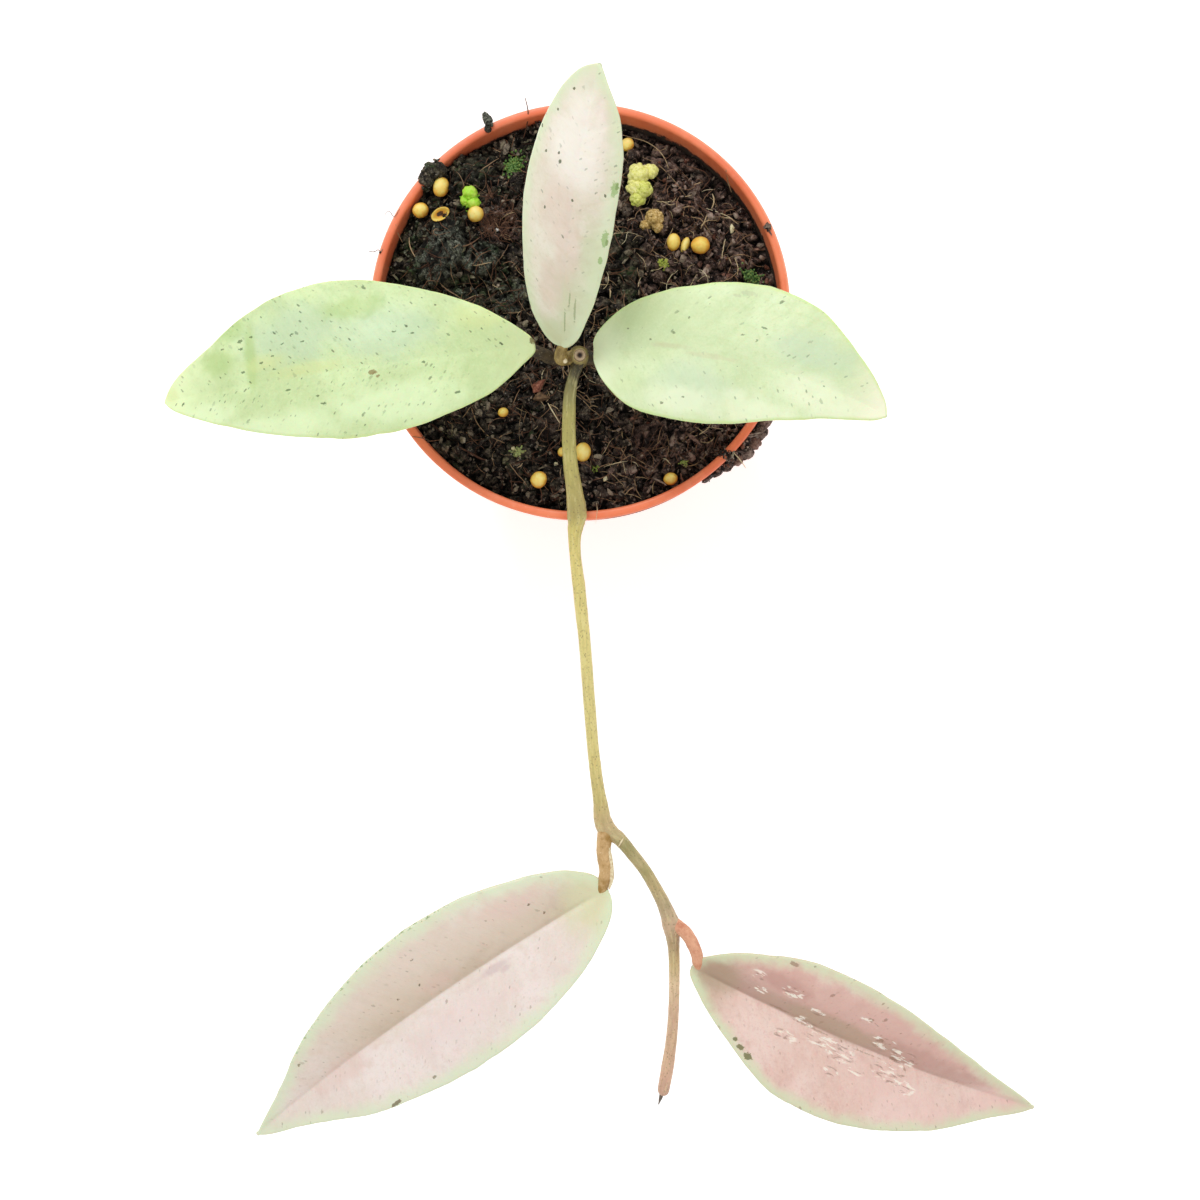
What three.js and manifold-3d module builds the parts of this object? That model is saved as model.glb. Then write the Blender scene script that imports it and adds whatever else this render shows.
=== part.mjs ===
// Potted hoya plant: a cut-back climber with five thick leaves in a small terracotta-coloured plastic pot.
// Millimetres, +Z up. The origin is the centre of the pot's underside, +X is the viewer's right
// and the long shoot trails over the rim towards -Y.

import * as THREE from "three";
import { mergeVertices } from "three/addons/utils/BufferGeometryUtils.js";
import Module from "manifold-3d";

const wasm = await Module();
wasm.setup();

// ---- Driving dimensions ----

const GAP = 0.3; // air left between two pieces that touch in the real plant

const POT = {
  height: 70,
  rimRadius: 42.5, // outside of the lip, at the top
  baseRadius: 30,
  wall: 1.1,
  rimWidth: 1.8,
  lipHeight: 9,
  lipStep: 2, // how far the lip stands out from the wall below it
  lipDraft: 0.7, // the lip is this much narrower at its lower edge
  mouthDraft: 0.3, // and its inside is this much narrower below
  shoulderHeight: 3.1, // the inside widens for the lip over this height
  floor: 2.6,
  recess: 1.2, // the ring with the drain holes is this far off the table
  padRadius: 9,
  footWidth: 3.6,
  corner: 0.6,
  drainRadius: 3.5,
  drainCircle: 17,
  drainCount: 6,
  segments: 52,
};

const SOIL = {
  height: 64.6, // level at the middle
  segments: 52,
  rings: 19,
  heap: { x: -24, y: 21, height: 4, spread: 15 }, // banked up towards the rim at the back left
  // The rolling relief: two crossed waves each, as turns along x, along y and phase, in radians.
  waves: [
    { height: 0.7, one: [0.31, 0.17, 1.2], other: [-0.11, 0.27, 0] },
    { height: 0.42, one: [0.63, -0.41, 0], other: [0.37, 0.55, 0.7] },
  ],
  lumps: 60,
  lumpHeight: [0.6, 1.9],
  lumpSpread: [1.9, 3.4],
  seed: 7,
};

// Round fertiliser granules that lie half sunk in the soil: x, y, radius.
const GRANULES = [
  [-28.2, 25.6, 1.75],
  [-32.4, 21.0, 1.6],
  [-21.1, 19.9, 1.65],
  [-28.0, 19.0, 1.3],
  [9.6, 35.5, 1.4],
  [19.1, 14.9, 1.5],
  [21.4, 14.6, 1.2],
  [24.6, 14.1, 1.8],
  [-15.7, -20.0, 1.0],
  [-8.3, -34.0, 1.7],
  [0.6, -28.3, 1.7],
  [18.4, -33.8, 1.35],
];
const GRANULE_LIFT = 0.3; // a granule's centre is this share of its radius above the soil

// Crumbly pieces of pale mineral and bark: x, y, half length along x, half length along y, height.
const CRUMBS = [
  [12.6, 28.3, 2.9, 2.4, 2.2],
  [12.1, 25.3, 2.3, 2.6, 1.9],
  [14.8, 19.3, 2.4, 2.6, 1.9],
  [-7.9, -15.6, 1.8, 2.0, 1.5],
];
const CRUMB_ROUGHNESS = 0.5;

const STEM_SIDES = 8;
const STEPS_PER_SPAN = 2; // cross-sections between two stations of a stem
const BURIED_END = 32; // height of the stem's lower end inside the soil

// Each stem is a row of stations along its axis: x, y, z, radius.
const MAIN_STEM = [
  [-4.6, 3.6, BURIED_END, 1.9],
  [-2.0, -3.2, 50, 1.8],
  [-0.5, -8.4, 64, 1.7],
  [0.0, -10.1, 72, 1.7],
  [0.2, -11.1, 77, 2.2],
  [0.4, -11.6, 79.8, 1.7],
  [0.5, -12.1, 82.6, 2.1],
  [0.7, -12.7, 86, 1.5],
  [0.9, -13.3, 89.5, 1.4],
];
const PITH = { radius: 0.6, depth: 1 };

const TRAILING_STEM = [
  [0.1, -14.8, 82.5, 1.5],
  [-0.9, -16.4, 82.9, 1.4],
  [-1.5, -19.6, 82.7, 1.4],
  [-1.6, -23.3, 81.7, 1.4],
  [-1.6, -27.9, 79.9, 1.4],
  [-1.3, -33.0, 77.6, 1.45],
  [-0.7, -37.5, 75, 1.65],
  [-0.3, -41.8, 72.25, 2.0], // the node that rests on the rim
  [-0.1, -46, 71.9, 1.35],
  [0.4, -56.6, 71.2, 1.15],
  [1.1, -66.5, 70.5, 1.1],
  [2.0, -78.5, 69.5, 1.15],
  [2.9, -89.5, 68.3, 1.2],
  [4.1, -98.6, 67, 1.4],
  [5.3, -104.2, 66, 1.85], // the node that carries the left front leaf
  [8.1, -106.6, 65.6, 1.4],
  [10.6, -109.6, 65.1, 1.25],
  [13.1, -112.9, 64.4, 1.2],
  [15.1, -116.3, 63.6, 1.25],
  [17, -120.1, 62.6, 1.4],
  [18.4, -124.3, 61.5, 1.75], // the node that carries the right front leaf
  [18.9, -128.4, 60.8, 1.25],
  [19.1, -134.7, 59.6, 1.1],
  [19, -141.1, 58.4, 1.1],
  [18.5, -148.5, 57, 1.15],
  [17.7, -154.5, 55.8, 1.25],
  [16.6, -159.9, 54.8, 1.15],
  [16, -162.3, 54.2, 0.5],
];

// A leaf's midrib starts at base and runs in the direction heading (degrees from +X), which turns by bend
// along its length. Its slope goes from rise[0] to rise[1] and the blade leans sideways by roll.
// The blade folds up along the midrib by fold degrees, and its margins curl down by curl.
// left and right are the half widths at the eighths of the leaf.
// stalk lists the stations of the leaf stalk from the stem to just before the blade: x, y, z, radius.
const LEAF = {
  middle: 1.8, // thickness beside the midrib
  edge: 0.9,
  tipSlimming: 0.7, // the blade thins to this share at its tip
  tipShare: 0.2, // over this share of its length
  tipHalfWidth: 0.45,
  baseSlope: 1.25, // how steeply the margin leaves the stalk, as a share of the first half width
  keel: 0.9, // how far the midrib stands out below, next to the stalk
  keelWidth: 1.6,
  keelShare: 0.7, // the keel dies out over this share of the length
  seatDepth: 1.4, // the stalk joins the blade this far below its upper face
  seat: [[2.4, 1.05], [4.8, 0.75]], // how far into the blade it runs, and its radius there
  columns: [0, 0.2, 0.46, 0.74, 0.96], // the faces' points, as shares of the half width
  rings: 16,
};

const LEAVES = {
  leaf_left: {
    base: [-7.5, -11, 87],
    heading: -172.8,
    bend: -1.5,
    length: 75.9,
    rise: [16, -26],
    roll: [-4, 4],
    fold: 8,
    curl: 1.6,
    left: [3.2, 8.6, 12.4, 13.1, 10.1, 5.8, 2.4],
    right: [3.8, 9.2, 14.4, 17.6, 15.6, 8.4, 3.4],
    stalk: [
      [-2.5, -11.3, 77.0, 1.5],
      [-4.8, -11.5, 78.0, 1.3],
      [-6.5, -11.5, 81.8, 1.3],
    ],
    color: 0xb9d398,
  },
  leaf_back: {
    base: [-2.7, -11.5, 87.5],
    heading: 79.1,
    bend: -12.5,
    length: 55.6,
    rise: [58, 26],
    roll: [-22, -22],
    fold: 4,
    curl: 2.5,
    left: [4.6, 8.0, 10.0, 11.3, 10.5, 7.7, 3.8],
    right: [2.6, 4.8, 6.8, 7.9, 8.1, 6.0, 2.0],
    stalk: [
      [-2.2, -12.3, 82.8, 1.3],
      [-3.3, -12.4, 83.6, 1.2],
      [-3.2, -12.1, 85.2, 1.2],
    ],
    color: 0xd9cfc0,
  },
  leaf_right: {
    base: [3.1, -11.4, 86],
    heading: -15.1,
    bend: -24.5,
    length: 59.2,
    rise: [34, -14],
    roll: [8, 12],
    fold: 7,
    curl: 1.6,
    left: [4.2, 8.6, 11.8, 14.0, 12.6, 7.2, 2.8],
    right: [6.2, 11.0, 12.8, 12.1, 8.6, 4.6, 2.0],
    stalk: [
      [2.9, -11.3, 77.0, 1.5],
      [4.8, -11.4, 77.6, 1.3],
      [6.0, -11.5, 80.4, 1.2],
    ],
    color: 0xbcd79a,
  },
  leaf_front_left: {
    base: [5.7, -116.4, 66],
    heading: -144.2,
    bend: 13.6,
    length: 92.7,
    rise: [10, -24],
    roll: [0, 0],
    fold: 15,
    curl: 1,
    left: [6.1, 11.9, 15.4, 15.5, 11.9, 5.6, 1.9],
    right: [6.1, 10.9, 14.3, 14.2, 10.4, 4.4, 1.2],
    stalk: [
      [4.8, -107.2, 66.1, 1.3],
      [4.8, -111.0, 66.6, 1.25],
      [5.4, -114.2, 66.3, 1.2],
    ],
    color: 0xcbb5a8,
  },
  leaf_front_right: {
    base: [22.4, -132.6, 62],
    heading: -23.1,
    bend: 5.3,
    length: 79.6,
    rise: [12, -26],
    roll: [0, 0],
    fold: 15,
    curl: 1,
    left: [4.2, 8.8, 12.2, 11.3, 7.4, 3.7, 1.3],
    right: [3.7, 9.2, 15.2, 15.2, 11.1, 4.9, 1.6],
    stalk: [
      [21.1, -124.6, 61.9, 1.15],
      [22.3, -126.2, 62.3, 1.2],
      [23.3, -129.2, 62.3, 1.2],
    ],
    color: 0xc39c93,
  },
};

const COLORS = {
  pot: 0xe0714a,
  soil: 0x2b231d,
  mainStem: 0x85764a,
  trailingStem: 0x939150,
};

// ---- Geometry helpers ----

// Seeded random numbers in 0..1.
function randomNumbers(seed) {
  let state = seed;
  return () => {
    state = (state * 1664525 + 1013904223) % 4294967296;
    return state / 4294967296;
  };
}

// A closed body through rings of equally many points, with a fan over each end ring.
// Each ring turns by the right-hand rule about the way from the first ring to the last.
// With twoFaced, the second half of every ring is split along the other diagonal,
// so that both faces of a blade match.
function loft(rings, twoFaced = false) {
  const count = rings[0].length;
  const last = rings.length - 1;
  const middle = (ring) =>
    ring.reduce((sum, point) => sum.add(point), new THREE.Vector3()).divideScalar(count);
  const points = [...rings.flat(), middle(rings[0]), middle(rings[last])];
  const startCentre = rings.length * count;
  const endCentre = startCentre + 1;
  const index = [];
  for (let i = 0; i < last; i++) {
    for (let j = 0; j < count; j++) {
      const k = (j + 1) % count;
      const a = i * count + j;
      const b = i * count + k;
      const c = a + count;
      const d = b + count;
      if (twoFaced && j >= count / 2) index.push(a, b, c, b, d, c);
      else index.push(a, b, d, a, d, c);
    }
  }
  for (let j = 0; j < count; j++) {
    const k = (j + 1) % count;
    index.push(startCentre, k, j);
    index.push(endCentre, last * count + j, last * count + k);
  }
  const geometry = new THREE.BufferGeometry();
  geometry.setAttribute("position", new THREE.Float32BufferAttribute(points.flatMap((p) => p.toArray()), 3));
  geometry.setIndex(index);
  return geometry;
}

// A round stem through stations of x, y, z, radius. grow makes it thicker, and longer at its start.
function stemGeometry(stations, grow = 0) {
  const axis = new THREE.CatmullRomCurve3(stations.map(([x, y, z]) => new THREE.Vector3(x, y, z)));
  const spans = stations.length - 1;
  const steps = spans * STEPS_PER_SPAN;
  const side = new THREE.Vector3(0, 0, 1).cross(axis.getTangent(0));
  if (side.lengthSq() < 0.1) side.set(1, 0, 0);
  const rings = [];
  for (let step = 0; step <= steps; step++) {
    const span = Math.min(Math.floor(step / STEPS_PER_SPAN), spans - 1);
    const part = THREE.MathUtils.smoothstep(step / STEPS_PER_SPAN - span, 0, 1);
    const radius = grow + THREE.MathUtils.lerp(stations[span][3], stations[span + 1][3], part);
    const tangent = axis.getTangent(step / steps);
    const centre = axis.getPoint(step / steps).addScaledVector(tangent, step === 0 ? -grow : 0);
    side.addScaledVector(tangent, -side.dot(tangent)).normalize();
    const up = tangent.clone().cross(side);
    const ring = Array.from({ length: STEM_SIDES }, (_, j) => {
      const angle = (2 * Math.PI * j) / STEM_SIDES;
      return centre
        .clone()
        .addScaledVector(side, radius * Math.cos(angle))
        .addScaledVector(up, radius * Math.sin(angle));
    });
    rings.push(ring);
  }
  return loft(rings);
}

// A solid for joining and cutting, from a closed geometry.
function solid(geometry) {
  const bare = new THREE.BufferGeometry();
  bare.setAttribute("position", geometry.getAttribute("position"));
  bare.setIndex(geometry.getIndex());
  const merged = mergeVertices(bare, 1e-4);
  const corners = [];
  const index = merged.getIndex().array;
  for (let i = 0; i < index.length; i += 3) {
    const [a, b, c] = index.slice(i, i + 3);
    if (a !== b && b !== c && c !== a) corners.push(a, b, c);
  }
  const mesh = new wasm.Mesh({
    numProp: 3,
    vertProperties: new Float32Array(merged.getAttribute("position").array),
    triVerts: new Uint32Array(corners),
  });
  return new wasm.Manifold(mesh);
}

// The geometry of a joined or cut solid.
function surface(body) {
  const { vertProperties, triVerts } = body.getMesh();
  const geometry = new THREE.BufferGeometry();
  geometry.setAttribute("position", new THREE.BufferAttribute(new Float32Array(vertProperties), 3));
  geometry.setIndex(new THREE.BufferAttribute(new Uint32Array(triVerts), 1));
  return geometry;
}

function named(name, geometry, color, roughness) {
  geometry.computeVertexNormals();
  const material = new THREE.MeshStandardMaterial({ color, roughness, metalness: 0 });
  const mesh = new THREE.Mesh(geometry, material);
  mesh.name = name;
  return mesh;
}

// ---- Pot ----

const LIP_UNDERSIDE = POT.height - POT.lipHeight;
const SHOULDER = LIP_UNDERSIDE - POT.wall; // the inside starts to widen for the lip here
const LIP_FLOOR = SHOULDER + POT.shoulderHeight; // and reaches the lip's own wall here
const MOUTH_RADIUS = POT.rimRadius - POT.rimWidth;
const WALL_TOP_RADIUS = POT.rimRadius - POT.lipDraft - POT.lipStep; // outside of the wall, under the lip

function outerWall(z) {
  return THREE.MathUtils.lerp(POT.baseRadius, WALL_TOP_RADIUS, z / LIP_UNDERSIDE);
}

function innerWall(z) {
  if (z <= SHOULDER) return outerWall(z) - POT.wall;
  const atShoulder = outerWall(SHOULDER) - POT.wall;
  const atLipFloor = MOUTH_RADIUS - POT.mouthDraft;
  if (z <= LIP_FLOOR) return THREE.MathUtils.mapLinear(z, SHOULDER, LIP_FLOOR, atShoulder, atLipFloor);
  return THREE.MathUtils.mapLinear(z, LIP_FLOOR, POT.height, atLipFloor, MOUTH_RADIUS);
}

function potGeometry() {
  const { height, rimRadius, baseRadius, recess, padRadius, footWidth, corner, floor } = POT;
  const footInside = baseRadius - footWidth;
  const profile = [
    [0, 0],
    [padRadius, 0],
    [padRadius + corner, recess],
    [footInside - corner, recess],
    [footInside, 0],
    [baseRadius - corner, 0],
    [outerWall(corner), corner],
    [outerWall(LIP_UNDERSIDE), LIP_UNDERSIDE],
    [rimRadius - POT.lipDraft - corner, LIP_UNDERSIDE],
    [rimRadius - POT.lipDraft, LIP_UNDERSIDE + corner],
    [rimRadius, height - corner],
    [rimRadius - corner / 3, height - corner / 4],
    [rimRadius - corner, height],
    [MOUTH_RADIUS + corner, height],
    [MOUTH_RADIUS + corner / 3, height - corner / 4],
    [innerWall(height - corner), height - corner],
    [innerWall(LIP_FLOOR), LIP_FLOOR],
    [innerWall(SHOULDER), SHOULDER],
    [innerWall(floor + corner), floor + corner],
    [innerWall(floor) - corner, floor],
    [0, floor],
  ].map(([radius, z]) => new THREE.Vector2(radius, z));
  let body = solid(new THREE.LatheGeometry(profile, POT.segments).rotateX(Math.PI / 2));
  for (let i = 0; i < POT.drainCount; i++) {
    const angle = (2 * Math.PI * i) / POT.drainCount;
    const drill = new THREE.CylinderGeometry(POT.drainRadius, POT.drainRadius, 3 * floor, 16);
    drill.rotateX(Math.PI / 2);
    drill.translate(POT.drainCircle * Math.cos(angle), POT.drainCircle * Math.sin(angle), floor / 2);
    body = body.subtract(solid(drill));
  }
  return surface(body);
}

// ---- Soil ----

// Seeded crumbs all over the surface, spread evenly by the golden angle: x, y, height, spread.
function soilLumps(brim) {
  const random = randomNumbers(SOIL.seed);
  const goldenAngle = Math.PI * (3 - Math.sqrt(5));
  return Array.from({ length: SOIL.lumps }, (_, i) => {
    const distance = (brim - 3) * Math.sqrt((i + 0.5) / SOIL.lumps);
    const angle = i * goldenAngle + 0.6 * random();
    return {
      x: distance * Math.cos(angle),
      y: distance * Math.sin(angle),
      height: THREE.MathUtils.lerp(...SOIL.lumpHeight, random()),
      spread: THREE.MathUtils.lerp(...SOIL.lumpSpread, random()),
    };
  });
}

// Height of the soil's surface: a heap at the back left, rolling relief and crumbs.
function soilHeight(x, y, lumps) {
  const wave = ([turnX, turnY, phase]) => Math.sin(turnX * x + turnY * y + phase);
  let height = SOIL.height;
  for (const { height: rise, one, other } of SOIL.waves) height += rise * wave(one) * wave(other);
  for (const lump of [SOIL.heap, ...lumps]) {
    height += lump.height * Math.exp(-((x - lump.x) ** 2 + (y - lump.y) ** 2) / lump.spread ** 2);
  }
  return height;
}

// A rough ball, pushed in and out by seeded amounts and stretched to half lengths a, b and c.
function roughBall(a, b, c, random, roughness) {
  const sphere = new THREE.IcosahedronGeometry(1, 1).deleteAttribute("uv").deleteAttribute("normal");
  const geometry = mergeVertices(sphere);
  const position = geometry.getAttribute("position");
  for (let i = 0; i < position.count; i++) {
    const reach = 1 + roughness * (random() - 0.5);
    position.setXYZ(i, reach * position.getX(i), reach * position.getY(i), reach * position.getZ(i));
  }
  geometry.scale(a, b, c);
  return geometry.rotateZ(2 * Math.PI * random());
}

function soilGeometry() {
  const bottom = POT.floor + GAP;
  const brim = MOUTH_RADIUS - 3 * GAP;
  const lumps = soilLumps(brim);
  const ring = (radius, heightAt) =>
    Array.from({ length: SOIL.segments }, (_, j) => {
      const angle = (2 * Math.PI * j) / SOIL.segments;
      const x = radius * Math.cos(angle);
      const y = radius * Math.sin(angle);
      return new THREE.Vector3(x, y, heightAt(x, y));
    });
  const wallRing = (z) => ring(innerWall(z) - GAP, () => z);
  const surfaceRings = [];
  for (let i = SOIL.rings; i >= 1; i--) {
    surfaceRings.push(ring((brim * i) / SOIL.rings, (x, y) => soilHeight(x, y, lumps)));
  }
  let body = solid(
    loft([
      ring(innerWall(bottom) - 2 * POT.corner, () => bottom),
      wallRing(bottom + 2 * POT.corner),
      wallRing(SHOULDER),
      wallRing(LIP_FLOOR),
      ...surfaceRings,
    ]),
  );
  const random = randomNumbers(SOIL.seed);
  const lay = (geometry, x, y, lift) => {
    body = body.add(solid(geometry.translate(x, y, soilHeight(x, y, lumps) + lift)));
  };
  for (const [x, y, radius] of GRANULES) {
    lay(roughBall(radius, radius, radius, random, 0), x, y, GRANULE_LIFT * radius);
  }
  for (const [x, y, a, b, c] of CRUMBS) lay(roughBall(a, b, c, random, CRUMB_ROUGHNESS), x, y, 0);
  return surface(body.subtract(solid(stemGeometry(MAIN_STEM, GAP))));
}

// ---- Stems ----

function mainStemGeometry() {
  const pith = new THREE.CylinderGeometry(PITH.radius, PITH.radius, 2 * PITH.depth, 8).rotateX(Math.PI / 2);
  const [x, y, z] = MAIN_STEM.at(-1);
  return surface(solid(stemGeometry(MAIN_STEM)).subtract(solid(pith.translate(x, y, z))));
}

// ---- Leaves ----

// Half width at station u in 0..1, a smooth curve through zero, the given eighths and zero.
// It leaves the stalk steeply, for a round base, and runs out flat, for a drawn-out tip.
function halfWidth(eighths, u) {
  const values = [0, ...eighths, 0];
  const slope = (k) => {
    if (k === 0) return LEAF.baseSlope * values[1];
    if (k === values.length - 1) return 0;
    return (values[k + 1] - values[k - 1]) / 2;
  };
  const place = Math.min(u, 1) * (values.length - 1);
  const k = Math.min(Math.floor(place), values.length - 2);
  const f = place - k;
  return (
    values[k] * (2 * f ** 3 - 3 * f ** 2 + 1) +
    slope(k) * (f ** 3 - 2 * f ** 2 + f) +
    values[k + 1] * (3 * f ** 2 - 2 * f ** 3) +
    slope(k + 1) * (f ** 3 - f ** 2)
  );
}

// Direction of the midrib at the fraction t of its length.
function midribDirection(leaf, t) {
  const heading = THREE.MathUtils.degToRad(leaf.heading + leaf.bend * (t - 0.5));
  const rise = THREE.MathUtils.degToRad(THREE.MathUtils.lerp(leaf.rise[0], leaf.rise[1], t));
  return new THREE.Vector3(
    Math.cos(rise) * Math.cos(heading),
    Math.cos(rise) * Math.sin(heading),
    Math.sin(rise),
  );
}

// Cross-sections of the blade from stalk to tip: each one's place on the midrib and its own axes.
function bladeSections(leaf) {
  const point = new THREE.Vector3(...leaf.base);
  const list = [];
  let before = 0;
  for (let i = 0; i <= LEAF.rings; i++) {
    const u = i / LEAF.rings;
    const t = (1 - Math.cos(Math.PI * u)) / 2;
    point.addScaledVector(midribDirection(leaf, (t + before) / 2), leaf.length * (t - before));
    before = t;
    const forward = midribDirection(leaf, t);
    const roll = THREE.MathUtils.degToRad(THREE.MathUtils.lerp(leaf.roll[0], leaf.roll[1], t));
    const left = new THREE.Vector3(0, 0, 1).cross(forward).normalize().applyAxisAngle(forward, roll);
    list.push({ u, t, point: point.clone(), forward, left, up: forward.clone().cross(left) });
  }
  return list;
}

// Height of the blade's upper face over its midrib, x to the side of it.
function bladeHeight(leaf, x) {
  const fold = Math.tan(THREE.MathUtils.degToRad(leaf.fold));
  return fold * (Math.hypot(x, 1) - 1) - (leaf.curl * x * x) / 100;
}

// One ring of the blade: over the upper face from left to right, and back along the lower face.
function bladeRing(leaf, { u, t, point, left, up }) {
  const slim = Math.max(LEAF.tipSlimming, Math.min(1, (1 - t) / LEAF.tipShare));
  const keel = LEAF.keel * Math.max(0, 1 - t / LEAF.keelShare);
  const thickness = (x, share) => {
    const blade = slim * THREE.MathUtils.lerp(LEAF.middle, LEAF.edge, share ** 2);
    return blade + keel * Math.exp(-((x / LEAF.keelWidth) ** 2));
  };
  const place = (x, drop) =>
    point
      .clone()
      .addScaledVector(left, x)
      .addScaledVector(up, bladeHeight(leaf, x) - drop);
  const upper = [];
  const lower = [];
  const margins = [];
  for (const [side, eighths] of [[1, leaf.left], [-1, leaf.right]]) {
    const width = Math.max(LEAF.tipHalfWidth, halfWidth(eighths, u));
    const columns = side === 1 ? LEAF.columns.toReversed() : LEAF.columns.slice(1);
    for (const share of columns) {
      const x = side * width * share;
      upper.push(place(x, 0));
      lower.unshift(place(x, thickness(x, share)));
    }
    margins.push(place(side * width, (slim * LEAF.edge) / 2));
  }
  return [...upper, margins[1], ...lower, margins[0]];
}

// A leaf in one piece: the blade, with the stalk running into it along the midrib.
function leafGeometry(leaf) {
  const sections = bladeSections(leaf);
  const blade = loft(sections.map((section) => bladeRing(leaf, section)), true);
  const { point, forward, up } = sections[0];
  const seat = LEAF.seat.map(([distance, radius]) => {
    const centre = point.clone().addScaledVector(forward, distance).addScaledVector(up, -LEAF.seatDepth);
    return [...centre.toArray(), radius];
  });
  return surface(solid(blade).add(solid(stemGeometry([...leaf.stalk, ...seat]))));
}

// ---- The plant ----

const plant = new THREE.Group();
plant.add(named("pot", potGeometry(), COLORS.pot, 0.45));
plant.add(named("soil", soilGeometry(), COLORS.soil, 0.95));
plant.add(named("main_stem", mainStemGeometry(), COLORS.mainStem, 0.6));
plant.add(named("trailing_stem", stemGeometry(TRAILING_STEM), COLORS.trailingStem, 0.55));
for (const [name, leaf] of Object.entries(LEAVES)) {
  plant.add(named(name, leafGeometry(leaf), leaf.color, 0.5));
}

export default plant;
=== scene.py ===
import math

import bmesh
import bpy
import numpy as np
from mathutils import Matrix, Vector


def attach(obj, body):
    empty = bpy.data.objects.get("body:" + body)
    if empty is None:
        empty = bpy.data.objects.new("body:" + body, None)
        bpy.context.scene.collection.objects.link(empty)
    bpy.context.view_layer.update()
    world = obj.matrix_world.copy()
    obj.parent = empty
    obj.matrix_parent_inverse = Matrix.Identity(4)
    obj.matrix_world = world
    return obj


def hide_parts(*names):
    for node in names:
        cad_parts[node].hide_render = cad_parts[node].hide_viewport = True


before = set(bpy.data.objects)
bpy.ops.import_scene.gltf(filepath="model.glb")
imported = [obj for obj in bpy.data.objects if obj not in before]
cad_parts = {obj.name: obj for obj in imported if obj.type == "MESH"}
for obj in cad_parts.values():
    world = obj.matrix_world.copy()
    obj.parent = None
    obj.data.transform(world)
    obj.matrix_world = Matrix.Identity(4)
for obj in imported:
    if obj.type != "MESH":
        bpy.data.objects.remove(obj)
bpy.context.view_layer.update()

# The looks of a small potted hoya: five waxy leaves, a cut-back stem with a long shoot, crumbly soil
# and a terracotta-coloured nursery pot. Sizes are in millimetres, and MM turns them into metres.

MM = 0.001
BODY = "root"

# ---------------------------------------------------------------- driving dimensions

POT = {
    "height": 70,
    "rim_radius": 42.5,
    "base_radius": 30,
    "wall": 1.1,
    "rim_width": 1.8,
    "lip_height": 9,
    "lip_step": 2,
    "lip_draft": 0.7,
    "mouth_draft": 0.3,
    "shoulder_height": 3.1,
    "floor": 2.6,
    "recess": 1.2,
    "pad_radius": 9,
    "foot_width": 3.6,
    "corner": 0.6,
    "drain_radius": 3.5,
    "drain_circle": 17,
    "drain_count": 6,
    "segments": 288,
}
LIP_UNDERSIDE = POT["height"] - POT["lip_height"]
SHOULDER = LIP_UNDERSIDE - POT["wall"]
LIP_FLOOR = SHOULDER + POT["shoulder_height"]
MOUTH_RADIUS = POT["rim_radius"] - POT["rim_width"]
WALL_TOP_RADIUS = POT["rim_radius"] - POT["lip_draft"] - POT["lip_step"]

SOIL_LEVEL = 64.6
SOIL_BRIM = MOUTH_RADIUS - 0.35
SOIL_GAP = 0.3
SOIL_BOTTOM = POT["floor"] + SOIL_GAP
SOIL_SEED = 7
SOIL_HEAP = (-24, 21, 4, 15)  # x, y, height and spread of the bank at the back left
SOIL_WAVES = [(0.7, (0.31, 0.17, 1.2), (-0.11, 0.27, 0)), (0.42, (0.63, -0.41, 0), (0.37, 0.55, 0.7))]
SOIL_LUMPS = 60
SOIL_LUMP_HEIGHT = (0.6, 1.9)
SOIL_LUMP_SPREAD = (1.9, 3.4)

# Clods that stand out of the soil: x, y, height, half length, half width, heading in degrees, and hue
# from -1, grey green, to 1, purple brown.
CLODS = [
    (-28.5, 12.0, 3.0, 8.0, 4.6, 60, -1.0), (-19.9, 11.2, 1.8, 4.0, 3.2, 20, -1.4),
    (-24.0, 1.5, 1.8, 5.0, 3.6, -20, -0.8), (-14.0, 3.0, 1.8, 5.0, 3.4, 60, -0.9),
    (-21.0, 29.5, 1.3, 5.0, 3.2, 35, -0.8), (-30.0, 28.4, 2.6, 3.8, 2.2, 45, -0.4),
    (14.2, -25.2, 2.2, 3.6, 3.2, 50, 1.2), (8.5, 1.5, 1.2, 6.0, 3.6, 80, -0.6),
    (9.0, 12.5, 1.1, 6.0, 3.6, 95, -0.4), (26.5, 30.0, 0.8, 4.0, 3.0, -40, 0.6),
    (-6.0, -22.0, 0.8, 4.0, 3.0, 10, 0.4), (24.0, -16.0, 1.2, 5.0, 3.5, 30, 0.5),
]

# The soil has shrunk from the wall on one side: direction and half width in degrees, and depth.
SOIL_SHRINK = (52, 42, 0.9)

SOIL_EDGE_LOWEST = 63.2

GROUND_STEP = 0.2
SOIL_RINGS = 230
SOIL_SIDES = 880
CRUMB_COUNT = 8200
FIBRE_COUNT = 1500

# A mat of reddish peat fibres behind the middle: how many, and where in x and in y.
PEAT_MAT = (110, (-19.8, -13.4), (14.6, 22.6))

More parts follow.
